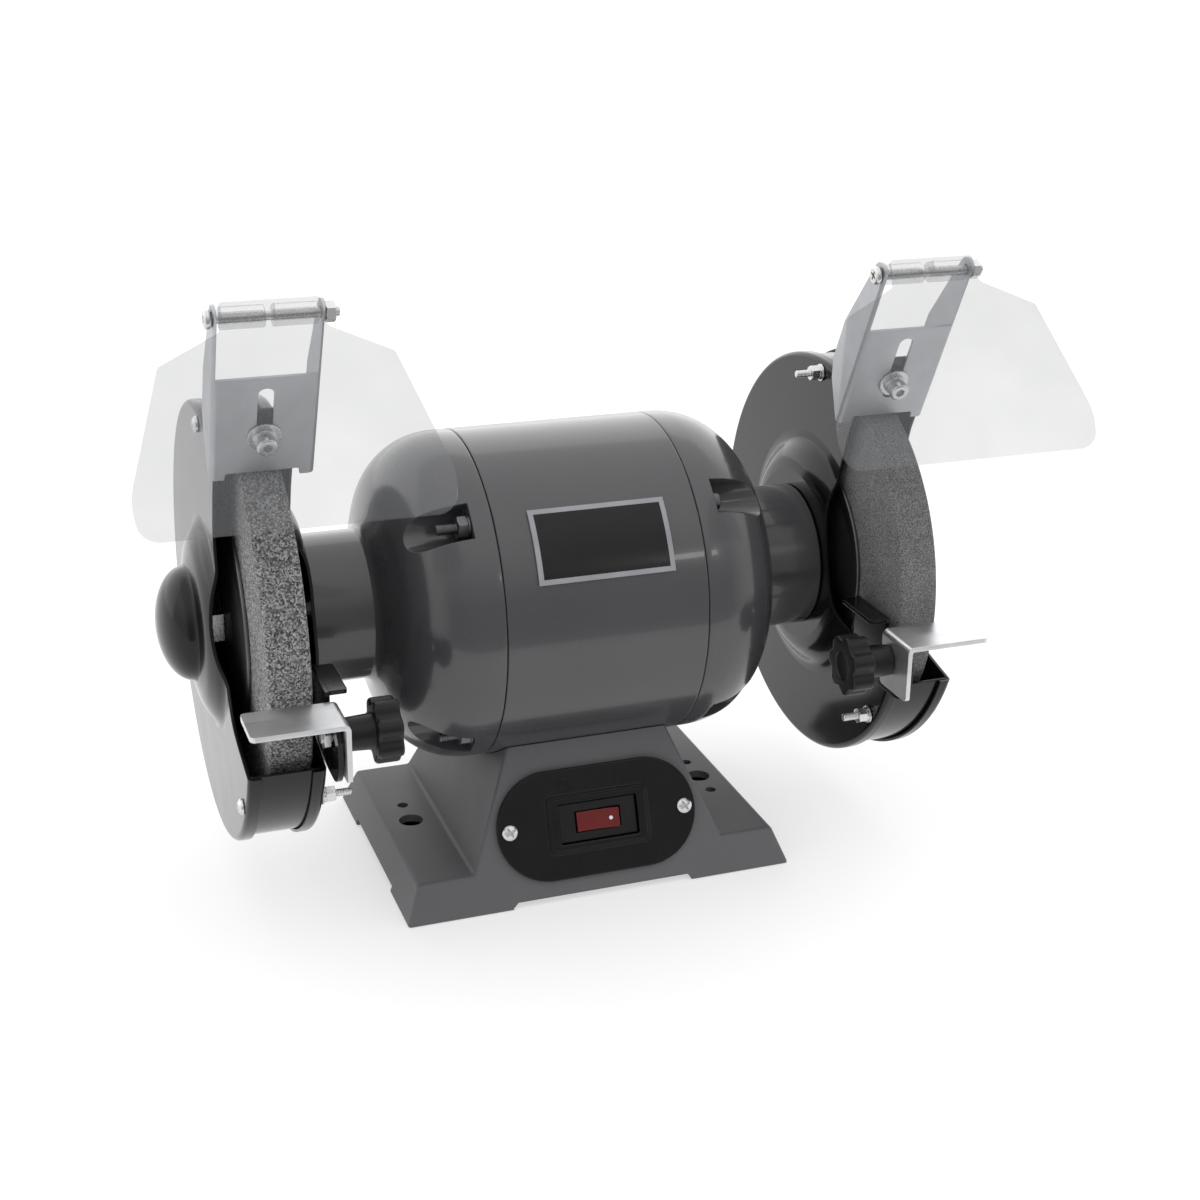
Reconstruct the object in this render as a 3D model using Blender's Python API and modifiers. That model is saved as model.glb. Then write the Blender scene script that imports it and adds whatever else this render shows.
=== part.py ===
"""Bench grinder, 200 mm wheel class: every piece is its own object.

The shaft runs along X, the switch faces -Y, and the feet stand on Z = 0. Pieces are modelled
about the shaft's plan position and hang from one empty, which centres the object front to back.
"""

from math import atan2, cos, pi, radians, sin

import bmesh
import bpy
from mathutils import Matrix, Vector

FIT = 0.0003
BORE_FIT = 0.0003

# Wheels and arbor
WHEEL_RADIUS = 0.100
WHEEL_WIDTH = 0.020
WHEEL_X = 0.1595
ARBOR_RADIUS = 0.008
JOURNAL_RADIUS = 0.0085
FLANGE_RADIUS = 0.055
FLANGE_WIDTH = 0.0045
ARBOR_NUT_FLATS = 0.024
ARBOR_NUT_HEIGHT = 0.0095

# Motor: its underside is MOTOR_LIFT above the bench
MOTOR_RADIUS = 0.084
MOTOR_LIFT = 0.0593
SHAFT_Z = MOTOR_LIFT + MOTOR_RADIUS
BARREL_HALF = 0.052
MOTOR_HALF = 0.102
NECK_RADIUS = 0.038
NECK_GAP = 0.0093
NECK_END = WHEEL_X - WHEEL_WIDTH / 2 - 0.005 - NECK_GAP
NECK_BORE = 0.030
SHELL = 0.013
STATOR_RADIUS = MOTOR_RADIUS - SHELL
ROTOR_RADIUS = 0.0445
AIR_GAP = 0.0005
STACK_HALF = 0.031
COIL_REACH = 0.013
THROUGH_BOLT_CIRCLE = MOTOR_RADIUS - 0.0075
THROUGH_BOLT_RADIUS = 0.0027
POCKET_FLOOR = 0.0625
POCKET_RADIUS = 0.0095
BEARING_RADIUS = 0.020
BEARING_WIDTH = 0.012
BEARING_X = 0.1095

# Guards
SHEET = 0.0015
GUARD_RADIUS = WHEEL_RADIUS + 0.009
BAND_RADIUS = GUARD_RADIUS - 0.0021
BAND_SHEET = 0.0012
LIP_DEPTH = 0.0065
GUARD_IN = NECK_END + NECK_GAP
GUARD_OUT = WHEEL_X + WHEEL_WIDTH / 2 + 0.0115
HUB_RADIUS = 0.0605
SKIRT_RADIUS = 0.053
SKIRT_RISE = 0.0088
DOME_RADIUS = 0.0285
DOME_HEIGHT = 0.0162
TAB_IN = GUARD_IN + LIP_DEPTH + FIT
TAB_OUT = GUARD_OUT - LIP_DEPTH - FIT
SCREW_CIRCLE = (WHEEL_RADIUS + BAND_RADIUS - BAND_SHEET) / 2
SCREW_RADIUS = 0.0019
SCREW_ANGLES = (radians(86.0), radians(-37.0), radians(204.5))

# Spark-deflector bracket and eye shield
LEAN = radians(26.0)
TAB_FRONT = 0.0032
TAB_TOP = WHEEL_RADIUS + 0.038
BRACKET_HALF = 0.0242
BRACKET_X = WHEEL_X - 0.0007
BRACKET_LOW = WHEEL_RADIUS - 0.001
BRACKET_HIGH = WHEEL_RADIUS + 0.0585
NOTCH_HALF = 0.017
NOTCH_RISE = 0.0038
FLANGE_DEPTH = 0.022
SLOT_HALF_WIDTH = 0.0037
SLOT_LOW = WHEEL_RADIUS + 0.014
SLOT_HIGH = WHEEL_RADIUS + 0.0524
BOLT_REACH = WHEEL_RADIUS + 0.0245
HINGE_REACH = WHEEL_RADIUS + 0.0895
EAR_RADIUS = 0.0062
HINGE_BOLT_RADIUS = 0.0023
BARREL_RADIUS = 0.0050
SHIELD_LEAN = radians(33.5)
SHIELD_OFFSET = 0.0068
SHIELD_SHEET = 0.0026
SHIELD_HALF_TOP = 0.022
SHIELD_HALF_SHOULDER = 0.0505
SHIELD_HALF_WIDE = 0.0685
SHIELD_SHOULDER = 0.023
SHIELD_WIDEST = 0.079
SHIELD_LENGTH = 0.097

# Tool rests
REST_TOP = SHAFT_Z - 0.0053
REST_SHEET = 0.0025
REST_GAP = 0.002
REST_DEPTH = 0.0275
REST_WIDTH = 0.0447
TAB_DROP = 0.029
REST_IN = GUARD_IN - 0.0058
STUD_Y = -(WHEEL_RADIUS + 0.009)
STUD_Z = SHAFT_Z - 0.0193
STUD_RADIUS = 0.0028
KNOB_RADIUS = 0.0155
KNOB_THICK = 0.012
KNOB_COLLAR = 0.0078
KNOB_LENGTH = 0.0255
KNOB_LOBES = 7

# Base
BASE_HALF = 0.1035
BASE_FRONT = -0.0811
BASE_BACK = 0.0683
WING_Z = 0.0193
WING_HALF = 0.0959
SLOPE = 0.39
PEDESTAL_HALF = 0.0668
PEDESTAL_TOP_HALF = 0.042
PEDESTAL_TOP = MOTOR_LIFT + 0.0197
BASE_WALL = 0.004
FOOT_RISE = 0.0035
HOLE_X = 0.082
HOLE_Y = -0.006
BIG_HOLE = 0.0063
SMALL_HOLE = 0.0028
SMALL_HOLE_STEP = 0.0178

# Capacitor and cable gland
CAPACITOR_HALF = 0.026
CAPACITOR_RADIUS = 0.016
CAPACITOR_Z = 0.030
GLAND_Z = 0.030
GLAND_RADIUS = 0.0065
GLAND_Y = BASE_BACK - SLOPE * GLAND_Z

# Switch
PLATE_HALF = 0.0535
PLATE_HEIGHT = 0.056
PLATE_CENTRE = 0.0397
PLATE_THICK = 0.0022
FRAME_HALF = 0.028
FRAME_HEIGHT = 0.0312
FRAME_RISE = 0.0042
WELL_HALF = 0.0212
WELL_HEIGHT = 0.0204
ROCKER_HALF = 0.0118
ROCKER_HEIGHT = 0.0100
ROCKER_TIP = radians(7.0)
PLATE_SCREW_X = 0.0472

# Nameplate
NAMEPLATE_HALF = 0.035
NAMEPLATE_LOW = radians(20.5)
NAMEPLATE_HIGH = radians(46.0)
NAMEPLATE_THICK = 0.001

FINISHES = {
    "grey_paint": ((0.125, 0.127, 0.132, 1.0), 0.30, 0.0),
    "black_gloss": ((0.012, 0.012, 0.013, 1.0), 0.18, 0.0),
    "zinc": ((0.62, 0.63, 0.64, 1.0), 0.32, 1.0),
    "steel": ((0.36, 0.36, 0.37, 1.0), 0.38, 1.0),
    "bright_edge_steel": ((0.20, 0.20, 0.21, 1.0), 0.42, 1.0),
    "coarse_grit": ((0.24, 0.24, 0.25, 1.0), 0.90, 0.0),
    "fine_grit": ((0.20, 0.20, 0.22, 1.0), 0.85, 0.0),
    "clear_plastic": ((0.80, 0.82, 0.84, 0.30), 0.05, 0.0),
    "black_plastic": ((0.016, 0.016, 0.018, 1.0), 0.40, 0.0),
    "gloss_plastic": ((0.008, 0.008, 0.009, 1.0), 0.12, 0.0),
    "red_plastic": ((0.55, 0.02, 0.02, 1.0), 0.20, 0.0),
    "copper_winding": ((0.42, 0.20, 0.10, 1.0), 0.45, 0.6),
    "aluminium_can": ((0.60, 0.60, 0.62, 1.0), 0.35, 1.0),
}


def clear_scene():
    for old in list(bpy.data.objects):
        bpy.data.objects.remove(old)


clear_scene()
parts = bpy.data.collections.new("bench_grinder")
cutters = bpy.data.collections.new("cutters")
bpy.context.scene.collection.children.link(parts)
bpy.context.scene.collection.children.link(cutters)
cutters.hide_render = True

front_reach = HINGE_REACH * sin(LEAN) + SHIELD_LENGTH * sin(SHIELD_LEAN)
front_reach += (SHIELD_OFFSET + SHIELD_SHEET) * cos(SHIELD_LEAN)
frame = bpy.data.objects.new("grinder_frame", None)
frame.location = (0.0, (front_reach - GUARD_RADIUS) / 2, 0.0)
parts.objects.link(frame)


# ---------------------------------------------------------------- helpers
def finish(name, kind):
    colour, roughness, metallic = FINISHES[kind]
    material = bpy.data.materials.new(name)
    material.use_nodes = True
    shader = material.node_tree.nodes["Principled BSDF"]
    shader.inputs["Base Color"].default_value = colour
    shader.inputs["Roughness"].default_value = roughness
    shader.inputs["Metallic"].default_value = metallic
    shader.inputs["Alpha"].default_value = colour[3]
    return material


def add(name, mesh, kind, origin=(0.0, 0.0, 0.0)):
    """Puts a mesh in the scene; with no finish it is a cutter."""
    obj = bpy.data.objects.new(name, mesh)
    obj.parent = frame
    obj.location = origin
    if kind is None:
        cutters.objects.link(obj)
        obj.hide_render = True
        obj.display_type = "WIRE"
    else:
        parts.objects.link(obj)
        mesh.materials.append(finish(name, kind))
    return obj


def smooth(obj):
    obj.data.shade_smooth()
    obj.data.set_sharp_from_angle(angle=radians(35.0))


def mesh_from(name, bm):
    mesh = bpy.data.meshes.new(name)
    bmesh.ops.recalc_face_normals(bm, faces=bm.faces)
    bm.to_mesh(mesh)
    bm.free()
    return mesh


def turned(name, profile, kind, x=0.0, steps=40, axis_yz=(0.0, SHAFT_Z)):
    """A solid of revolution about a line along X, from a closed profile of (along X, radius)."""
    bm = bmesh.new()
    ring = [bm.verts.new((r, 0.0, a)) for a, r in profile]
    for first, second in zip(ring, ring[1:] + ring[:1]):
        if first.co.x > 0.0 or second.co.x > 0.0:
            bm.edges.new((first, second))
    mesh = bpy.data.meshes.new(name)
    bm.to_mesh(mesh)
    bm.free()
    shell = bpy.data.objects.new(name + "_profile", mesh)
    bpy.context.scene.collection.objects.link(shell)
    screw = shell.modifiers.new("turn", "SCREW")
    screw.steps = steps
    screw.render_steps = steps
    screw.use_merge_vertices = True
    screw.merge_threshold = 0.00001
    bpy.context.view_layer.update()
    solid = bpy.data.meshes.new_from_object(
        shell.evaluated_get(bpy.context.evaluated_depsgraph_get())
    )
    bpy.data.objects.remove(shell)
    bm = bmesh.new()
    bm.from_mesh(solid)
    bmesh.ops.remove_doubles(bm, verts=bm.verts, dist=0.000002)
    bmesh.ops.rotate(bm, verts=bm.verts, cent=(0, 0, 0), matrix=Matrix.Rotation(pi / 2, 3, "Y"))
    made = add(name, mesh_from(name, bm), kind, (x, axis_yz[0], axis_yz[1]))
    smooth(made)
    return made


SIDEWAYS = Matrix(((0, 0, 1), (1, 0, 0), (0, 1, 0)))


def slab(name, loops, thick, kind, origin=(0.0, 0.0, 0.0), turn=SIDEWAYS):
    """A flat sheet from an outline and its holes. Unturned it lies in the YZ plane, thick along X."""
    curve = bpy.data.curves.new(name, "CURVE")
    curve.dimensions = "2D"
    curve.fill_mode = "BOTH"
    curve.extrude = thick / 2
    for loop in loops:
        spline = curve.splines.new("POLY")
        spline.points.add(len(loop) - 1)
        for point, (u, v) in zip(spline.points, loop):
            point.co = (u, v, 0.0, 1.0)
        spline.use_cyclic_u = True
    outline = bpy.data.objects.new(name + "_outline", curve)
    bpy.context.scene.collection.objects.link(outline)
    bpy.context.view_layer.update()
    solid = bpy.data.meshes.new_from_object(
        outline.evaluated_get(bpy.context.evaluated_depsgraph_get())
    )
    bpy.data.objects.remove(outline)
    bm = bmesh.new()
    bm.from_mesh(solid)
    bmesh.ops.remove_doubles(bm, verts=bm.verts, dist=0.000002)
    bmesh.ops.transform(bm, verts=bm.verts, matrix=turn.to_4x4())
    return add(name, mesh_from(name, bm), kind, origin)


def block(name, low, high, kind, origin=(0.0, 0.0, 0.0), turn=None):
    bm = bmesh.new()
    size = Vector(high) - Vector(low)
    middle = (Vector(high) + Vector(low)) / 2
    place = Matrix.Translation(middle) @ Matrix.Diagonal((*size, 1.0))
    if turn is not None:
        place = turn.to_4x4() @ place
    bmesh.ops.create_cube(bm, size=1.0, matrix=place)
    return add(name, mesh_from(name, bm), kind, origin)


def rod(name, radius, start, end, kind, sides=20, origin=(0.0, 0.0, 0.0)):
    """A cylinder, or with six sides a hexagon, between two points."""
    start, end = Vector(start), Vector(end)
    along = end - start
    bm = bmesh.new()
    place = Matrix.Translation((start + end) / 2) @ along.to_track_quat("Z", "Y").to_matrix().to_4x4()
    bmesh.ops.create_cone(
        bm, cap_ends=True, segments=sides, radius1=radius, radius2=radius,
        depth=along.length, matrix=place,
    )
    made = add(name, mesh_from(name, bm), kind, origin)
    if sides > 8:
        smooth(made)
    return made


def join(obj, other, how="UNION"):
    """Adds the other solid to this one, or takes it away."""
    change = obj.modifiers.new(how.lower(), "BOOLEAN")
    change.operation = how
    change.object = other
    return obj


def cut(obj, other):
    return join(obj, other, "DIFFERENCE")


def arc(centre, radius, start, end, count):
    """Points on a circle arc, ends included, as (u, v)."""
    step = (end - start) / (count - 1)
    return [
        (centre[0] + radius * cos(start + step * i), centre[1] + radius * sin(start + step * i))
        for i in range(count)
    ]


def ring(centre, radius, count=16):
    return arc(centre, radius, 0.0, 2 * pi * (count - 1) / count, count)


def rounded(points, radius, count=4):
    """A closed outline with every corner rounded."""
    out = []
    total = len(points)
    for i, here in enumerate(points):
        here = Vector(here)
        back = (Vector(points[i - 1]) - here).normalized()
        on = (Vector(points[(i + 1) % total]) - here).normalized()
        half = back.angle(on) / 2
        centre = here + (back + on).normalized() * radius / sin(half)
        first = here + back * radius * cos(half) / sin(half) - centre
        last = here + on * radius * cos(half) / sin(half) - centre
        start = atan2(first.y, first.x)
        sweep = atan2(first.x * last.y - first.y * last.x, first.dot(last))
        out += arc(centre, radius, start, start + sweep, count)
    return out


def about_shaft(radius, angle):
    """(y, z) at an angle measured up from straight ahead."""
    return -radius * cos(angle), SHAFT_Z + radius * sin(angle)


def flip(profile, side):
    """A profile of (along X, radius) for this side of the grinder."""
    return [(side * a, r) for a, r in profile]


# ---------------------------------------------------------------- base
def swept(name, outline, half, kind):
    """An XZ outline swept along Y, from -half to half."""
    return slab(name, [outline], half * 2, kind, turn=Matrix.Rotation(pi / 2, 3, "X"))


def frustum(name, low, high, kind):
    """A block whose top rectangle differs from its bottom one: each is (x half, y low, y high, z)."""
    bm = bmesh.new()
    bmesh.ops.create_cube(bm, size=2.0)
    for vert in bm.verts:
        half, near, far, z = high if vert.co.z > 0 else low
        vert.co = (half if vert.co.x > 0 else -half, far if vert.co.y > 0 else near, z)
    return add(name, mesh_from(name, bm), kind)


def base_depth(z, wall=0.0):
    return BASE_FRONT + SLOPE * z + wall, BASE_BACK - SLOPE * z - wall


def make_base():
    side_slope = (PEDESTAL_HALF - PEDESTAL_TOP_HALF) / (PEDESTAL_TOP - WING_Z)
    half = [(BASE_HALF, 0.0), (WING_HALF, WING_Z), (PEDESTAL_HALF, WING_Z), (
        PEDESTAL_TOP_HALF, PEDESTAL_TOP,
    )]
    base = swept("base", half + [(-x, z) for x, z in reversed(half)], 0.12, "grey_paint")
    wedge = frustum(
        "front_and_back",
        (BASE_HALF + 0.02, *base_depth(-0.01), -0.01),
        (BASE_HALF + 0.02, *base_depth(PEDESTAL_TOP + 0.01), PEDESTAL_TOP + 0.01),
        None,
    )
    join(base, wedge, "INTERSECT")
    cut(base, rod("saddle_form", MOTOR_RADIUS + FIT, (-0.07, 0, SHAFT_Z), (0.07, 0, SHAFT_Z), None, 48))
    wall = BASE_WALL * 1.1
    cavity_top = SHAFT_Z - MOTOR_RADIUS - BASE_WALL * 2
    shrink = side_slope * (cavity_top - WING_Z)
    cut(base, frustum(
        "skirt_hollow",
        (BASE_HALF - wall, *base_depth(-0.001, wall), -0.001),
        (WING_HALF - wall, *base_depth(WING_Z - BASE_WALL, wall), WING_Z - BASE_WALL),
        None,
    ))
    cut(base, frustum(
        "pedestal_hollow",
        (PEDESTAL_HALF - wall, *base_depth(WING_Z - BASE_WALL * 1.5, wall), WING_Z - BASE_WALL * 1.5),
        (PEDESTAL_HALF - wall - shrink, *base_depth(cavity_top, wall), cavity_top),
        None,
    ))
    foot = BASE_HALF * 0.46
    cut(base, block("front_relief", (-foot, -0.12, -0.01), (foot, 0.12, FOOT_RISE), None))
    cut(base, block("side_relief", (-0.12, -0.043, -0.01), (0.12, 0.033, FOOT_RISE), None))
    holes = [(x, HOLE_Y, BIG_HOLE) for x in (-HOLE_X, HOLE_X)]
    holes += [(x, HOLE_Y + SMALL_HOLE_STEP, SMALL_HOLE) for x in (-HOLE_X, HOLE_X)]
    holes += [(HOLE_X, HOLE_Y - SMALL_HOLE_STEP, SMALL_HOLE)]
    for number, (x, y, radius) in enumerate(holes):
        cut(base, rod(f"wing_hole_{number}", radius, (x, y, 0.01), (x, y, 0.03), None))
    cut(base, block(
        "switch_cutout", (-WELL_HALF - FIT, PLATE_CENTRE - WELL_HEIGHT / 2 - FIT, -0.02),
        (WELL_HALF + FIT, PLATE_CENTRE + WELL_HEIGHT / 2 + FIT, 0.02), None, *SWITCH_PLACE,
    ))
    for side in (-1, 1):
        x = side * PLATE_SCREW_X
        cut(base, rod(f"pilot_{side}", 0.0021, on_slope(x, PLATE_CENTRE, -0.012),
                      on_slope(x, PLATE_CENTRE, 0.01), None, 12))
    cut(base, rod("gland_hole", GLAND_RADIUS + FIT, (0, GLAND_Y - 0.03, GLAND_Z),
                  (0, GLAND_Y + 0.03, GLAND_Z), None, 20))
    return base


def make_base_plate():
    wall = BASE_WALL * 1.1 + 0.0012
    low, high = FOOT_RISE + 0.0006, FOOT_RISE + 0.0018
    near, far = base_depth(high, wall)
    half = BASE_HALF - wall - 0.002
    outline = rounded([(-half, near), (half, near), (half, far), (-half, far)], 0.004)
    holes = [ring((x, HOLE_Y), BIG_HOLE + 0.001, 20) for x in (-HOLE_X, HOLE_X)]
    return slab(
        "base_plate", [outline, *holes], high - low, "steel", (0, 0, (low + high) / 2),
        Matrix.Identity(3),
    )


def make_capacitor():
    end, radius = CAPACITOR_HALF, CAPACITOR_RADIUS
    profile = [
        (-end, 0.0), (-end, radius), (end - 0.002, radius), (end, radius - 0.002), (end, 0.006),
        (end + 0.004, 0.006), (end + 0.004, 0.0),
    ]
    return turned("capacitor", profile, "aluminium_can", 0.006, 24, (0.014, CAPACITOR_Z))


def make_cable_gland():
    gland = rod(
        "cable_gland", GLAND_RADIUS, (0, GLAND_Y - 0.012, GLAND_Z), (0, GLAND_Y + 0.012, GLAND_Z),
        "black_plastic", 20,
    )
    outer = GLAND_Y + 0.0045
    join(gland, rod("gland_nut", 0.0092, (0, outer, GLAND_Z), (0, outer + 0.006, GLAND_Z), None, 12))
    return cut(gland, rod(
        "gland_bore", 0.0038, (0, GLAND_Y - 0.02, GLAND_Z), (0, GLAND_Y + 0.02, GLAND_Z), None, 16,
    ))


# ---------------------------------------------------------------- switch
SLOPE_ANGLE = atan2(SLOPE, 1.0)
SLOPE_TURN = Matrix.Rotation(pi / 2 - SLOPE_ANGLE, 3, "X")
SWITCH_PLACE = ((0.0, BASE_FRONT, 0.0), SLOPE_TURN)


def on_slope(x, up, out):
    """A point on the base's front slope: across, up the slope from its foot, and out from it."""
    return Vector((0.0, BASE_FRONT, 0.0)) + SLOPE_TURN @ Vector((x, up, out))


def make_switch_plate():
    end = PLATE_HEIGHT / 2
    straight = PLATE_HALF - end
    outline = arc((straight, PLATE_CENTRE), end, -pi / 2, pi / 2, 14)
    outline += arc((-straight, PLATE_CENTRE), end, pi / 2, 3 * pi / 2, 14)
    screws = [ring((side * PLATE_SCREW_X, PLATE_CENTRE), 0.0024, 12) for side in (-1, 1)]
    well = rectangle(WELL_HALF, WELL_HEIGHT / 2)
    origin = on_slope(0, 0, FIT + PLATE_THICK / 2)
    plate = slab("switch_plate", [outline, well, *screws], PLATE_THICK, "gloss_plastic", origin, SLOPE_TURN)
    rim = rounded(rectangle(FRAME_HALF, FRAME_HEIGHT / 2), 0.003)
    collar = slab(
        "plate_frame", [rim, well], FRAME_RISE, None, on_slope(0, 0, FIT + FRAME_RISE / 2), SLOPE_TURN,
    )
    return join(plate, collar)


def rectangle(half_x, half_y):
    return [
        (-half_x, PLATE_CENTRE - half_y), (half_x, PLATE_CENTRE - half_y),
        (half_x, PLATE_CENTRE + half_y), (-half_x, PLATE_CENTRE + half_y),
    ]


def make_switch_housing():
    x, y = WELL_HALF - FIT, WELL_HEIGHT / 2 - FIT
    top = FIT + PLATE_THICK
    housing = block(
        "switch_housing", (-x, PLATE_CENTRE - y, -0.018), (x, PLATE_CENTRE + y, top),
        "black_plastic", *SWITCH_PLACE,
    )
    space = FIT * 1.5
    return cut(housing, block(
        "rocker_well", (-ROCKER_HALF - space, PLATE_CENTRE - ROCKER_HEIGHT / 2 - space, -0.010),
        (ROCKER_HALF + space, PLATE_CENTRE + ROCKER_HEIGHT / 2 + space, 0.02), None, *SWITCH_PLACE,
    ))


def make_switch_rocker():
    """A cap whose two faces meet over the pivot; it is pressed down at its left end."""
    crown = 0.0032
    raised = crown + ROCKER_HALF * sin(2 * ROCKER_TIP) * 0.5
    outline = [
        (-ROCKER_HALF + 0.0004, 0.0004), (-0.004, -0.0035), (0.004, -0.0035),
        (ROCKER_HALF - 0.0004, 0.0004), (ROCKER_HALF - 0.0008, raised), (0.0, crown),
        (-ROCKER_HALF + 0.0008, raised),
    ]
    tip = Matrix.Rotation(-ROCKER_TIP, 3, "Y")
    place = SLOPE_TURN @ tip @ Matrix.Rotation(pi / 2, 3, "X")
    return slab(
        "switch_rocker", [outline], ROCKER_HEIGHT, "red_plastic", on_slope(0, PLATE_CENTRE, 0.0002),
        place,
    )


def make_plate_screws():
    for side, label in ((-1, "left"), (1, "right")):
        x = side * PLATE_SCREW_X
        top = FIT + PLATE_THICK + FIT
        origin = on_slope(x, PLATE_CENTRE, 0)
        out = SLOPE_TURN @ Vector((0, 0, 1))
        screw = rod(f"plate_screw_{label}", 0.0017, out * -0.010, out * (top + 0.001), "zinc", 12, origin)
        join(screw, rod(
            f"plate_screw_head_{label}", 0.0042, out * top, out * (top + 0.0022), None, 20, origin,
        ))
        for turn in (0.0, pi / 2):
            arm = SLOPE_TURN @ Matrix.Rotation(turn + 0.5, 3, "Z")
            cut(screw, block(f"recess_{label}_{turn:.0f}", (-0.0024, -0.0005, top + 0.0012),
                             (0.0024, 0.0005, top + 0.004), None, origin, arm))


# ---------------------------------------------------------------- motor
def bolt_yz(index):
    return about_shaft(THROUGH_BOLT_CIRCLE, pi / 4 + index * pi / 2)


def make_barrel():
    x = BARREL_HALF - FIT / 2
    profile = [(-x, STATOR_RADIUS + FIT), (-x, MOTOR_RADIUS), (x, MOTOR_RADIUS), (x, STATOR_RADIUS + FIT)]
    barrel = turned("motor_barrel", profile, "grey_paint", steps=40)
    for index in range(4):
        y, z = bolt_yz(index)
        cut(barrel, rod(
            f"barrel_hole_{index}", THROUGH_BOLT_RADIUS + FIT, (-0.06, y, z), (0.06, y, z), None, 12,
        ))
    return barrel


def bell_profile():
    """Outer dome and neck, then the inside back to the joint with the barrel."""
    joint = BARREL_HALF + FIT / 2
    tall, room = MOTOR_RADIUS, MOTOR_HALF - BARREL_HALF
    outside = [(0.0, 1.0), (0.24, 0.996), (0.45, 0.966), (0.63, 0.908), (0.78, 0.826), (0.89, 0.722),
               (0.96, 0.600)]
    points = [(joint + room * u, tall * v) for u, v in outside]
    points += [(MOTOR_HALF + 0.0005, NECK_RADIUS + 0.0012), (MOTOR_HALF + 0.003, NECK_RADIUS)]
    seat_in, seat_out = BEARING_X - BEARING_WIDTH / 2 - FIT, BEARING_X + BEARING_WIDTH / 2 + FIT
    points += [
        (NECK_END, NECK_RADIUS), (NECK_END, NECK_BORE), (seat_out + 0.003, NECK_BORE),
        (seat_out + 0.003, JOURNAL_RADIUS + 0.0035), (seat_out, JOURNAL_RADIUS + 0.0035),
        (seat_out, BEARING_RADIUS + FIT), (seat_in, BEARING_RADIUS + FIT),
        (seat_in, BEARING_RADIUS + 0.006),
        (MOTOR_HALF - 0.006, MOTOR_RADIUS - 0.050), (MOTOR_HALF - 0.020, MOTOR_RADIUS - 0.032),
        (joint + 0.014, MOTOR_RADIUS - 0.024), (joint + 0.004, MOTOR_RADIUS - 0.022),
        (joint, MOTOR_RADIUS - 0.018),
    ]
    return points


def make_end_bell(side, label):
    bell = turned(f"end_bell_{label}", flip(bell_profile(), side), "grey_paint", steps=32)
    for index in range(4):
        y, z = bolt_yz(index)
        cut(bell, rod(
            f"bell_hole_{label}_{index}", THROUGH_BOLT_RADIUS + FIT, (side * (BARREL_HALF - 0.002), y, z),
            (side * (POCKET_FLOOR + 0.01), y, z), None, 12,
        ))
        floor, far = side * POCKET_FLOOR, side * (MOTOR_HALF - 0.003)
        cut(bell, rod(f"pocket_{label}_{index}", POCKET_RADIUS, (floor, y, z), (far, y, z), None, 14))
        out = Vector((0.0, y, z - SHAFT_Z)).normalized()
        across = Vector((0.0, -out.z, out.y))
        turn = Matrix((Vector((1, 0, 0)), across, out)).transposed()
        low = (min(floor, far), -POCKET_RADIUS, 0.0)
        high = (max(floor, far), POCKET_RADIUS, 0.03)
        cut(bell, block(f"pocket_mouth_{label}_{index}", low, high, None, (0, y, z), turn))
    return bell


def make_stator():
    x, end, gap = STACK_HALF, STACK_HALF + COIL_REACH, ROTOR_RADIUS + AIR_GAP
    inner, outer = ROTOR_RADIUS + 0.0055, STATOR_RADIUS - 0.010
    ring_profile = [
        (-x, STATOR_RADIUS), (x, STATOR_RADIUS), (x, outer + 0.003), (end, outer), (end, inner),
        (x, gap), (-x, gap), (-end, inner), (-end, outer), (-x, outer + 0.003),
    ]
    return turned("stator", ring_profile, "copper_winding", steps=24)


def make_rotor():
    x, bore = STACK_HALF, JOURNAL_RADIUS + BORE_FIT
    profile = [
        (-x - 0.004, bore), (-x - 0.004, ROTOR_RADIUS - 0.004), (-x, ROTOR_RADIUS), (x, ROTOR_RADIUS),
        (x + 0.004, ROTOR_RADIUS - 0.004), (x + 0.004, bore),
    ]
    return turned("rotor", profile, "steel", steps=24)


def make_shaft():
    shoulder = WHEEL_X - WHEEL_WIDTH / 2 - FLANGE_WIDTH - FIT * 3
    tip = WHEEL_X + WHEEL_WIDTH / 2 + FLANGE_WIDTH + ARBOR_NUT_HEIGHT + 0.006
    half = [
        (shoulder, JOURNAL_RADIUS), (shoulder, ARBOR_RADIUS), (tip - 0.0012, ARBOR_RADIUS),
        (tip, ARBOR_RADIUS - 0.0012), (tip, 0.0),
    ]
    profile = flip(half, -1)[::-1] + half
    return turned("shaft", profile, "steel", steps=24)


def make_bearing(side, label):
    x = BEARING_WIDTH / 2
    profile = [
        (-x, JOURNAL_RADIUS + BORE_FIT), (-x, BEARING_RADIUS), (x, BEARING_RADIUS),
        (x, JOURNAL_RADIUS + BORE_FIT),
    ]
    return turned(f"bearing_{label}", profile, "steel", side * BEARING_X, 24)


def make_through_bolts():
    names = ("front_upper", "rear_upper", "rear_lower", "front_lower")
    for index, label in enumerate(names):
        y, z = bolt_yz(index)
        origin = (0.0, y, z)
        floor = POCKET_FLOOR + FIT
        bolt = rod(
            f"through_bolt_{label}", THROUGH_BOLT_RADIUS, (-floor - 0.016, 0, 0),
            (floor + 0.002, 0, 0), "steel", 14, origin,
        )
        join(bolt, rod(
            f"bolt_head_{label}", 0.0052, (floor, 0, 0), (floor + 0.0045, 0, 0), None, 6, origin,
        ))
        join(bolt, rod(
            f"bolt_nut_{label}", 0.0062, (-floor - 0.0055, 0, 0), (-floor, 0, 0), None, 6, origin,
        ))


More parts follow.
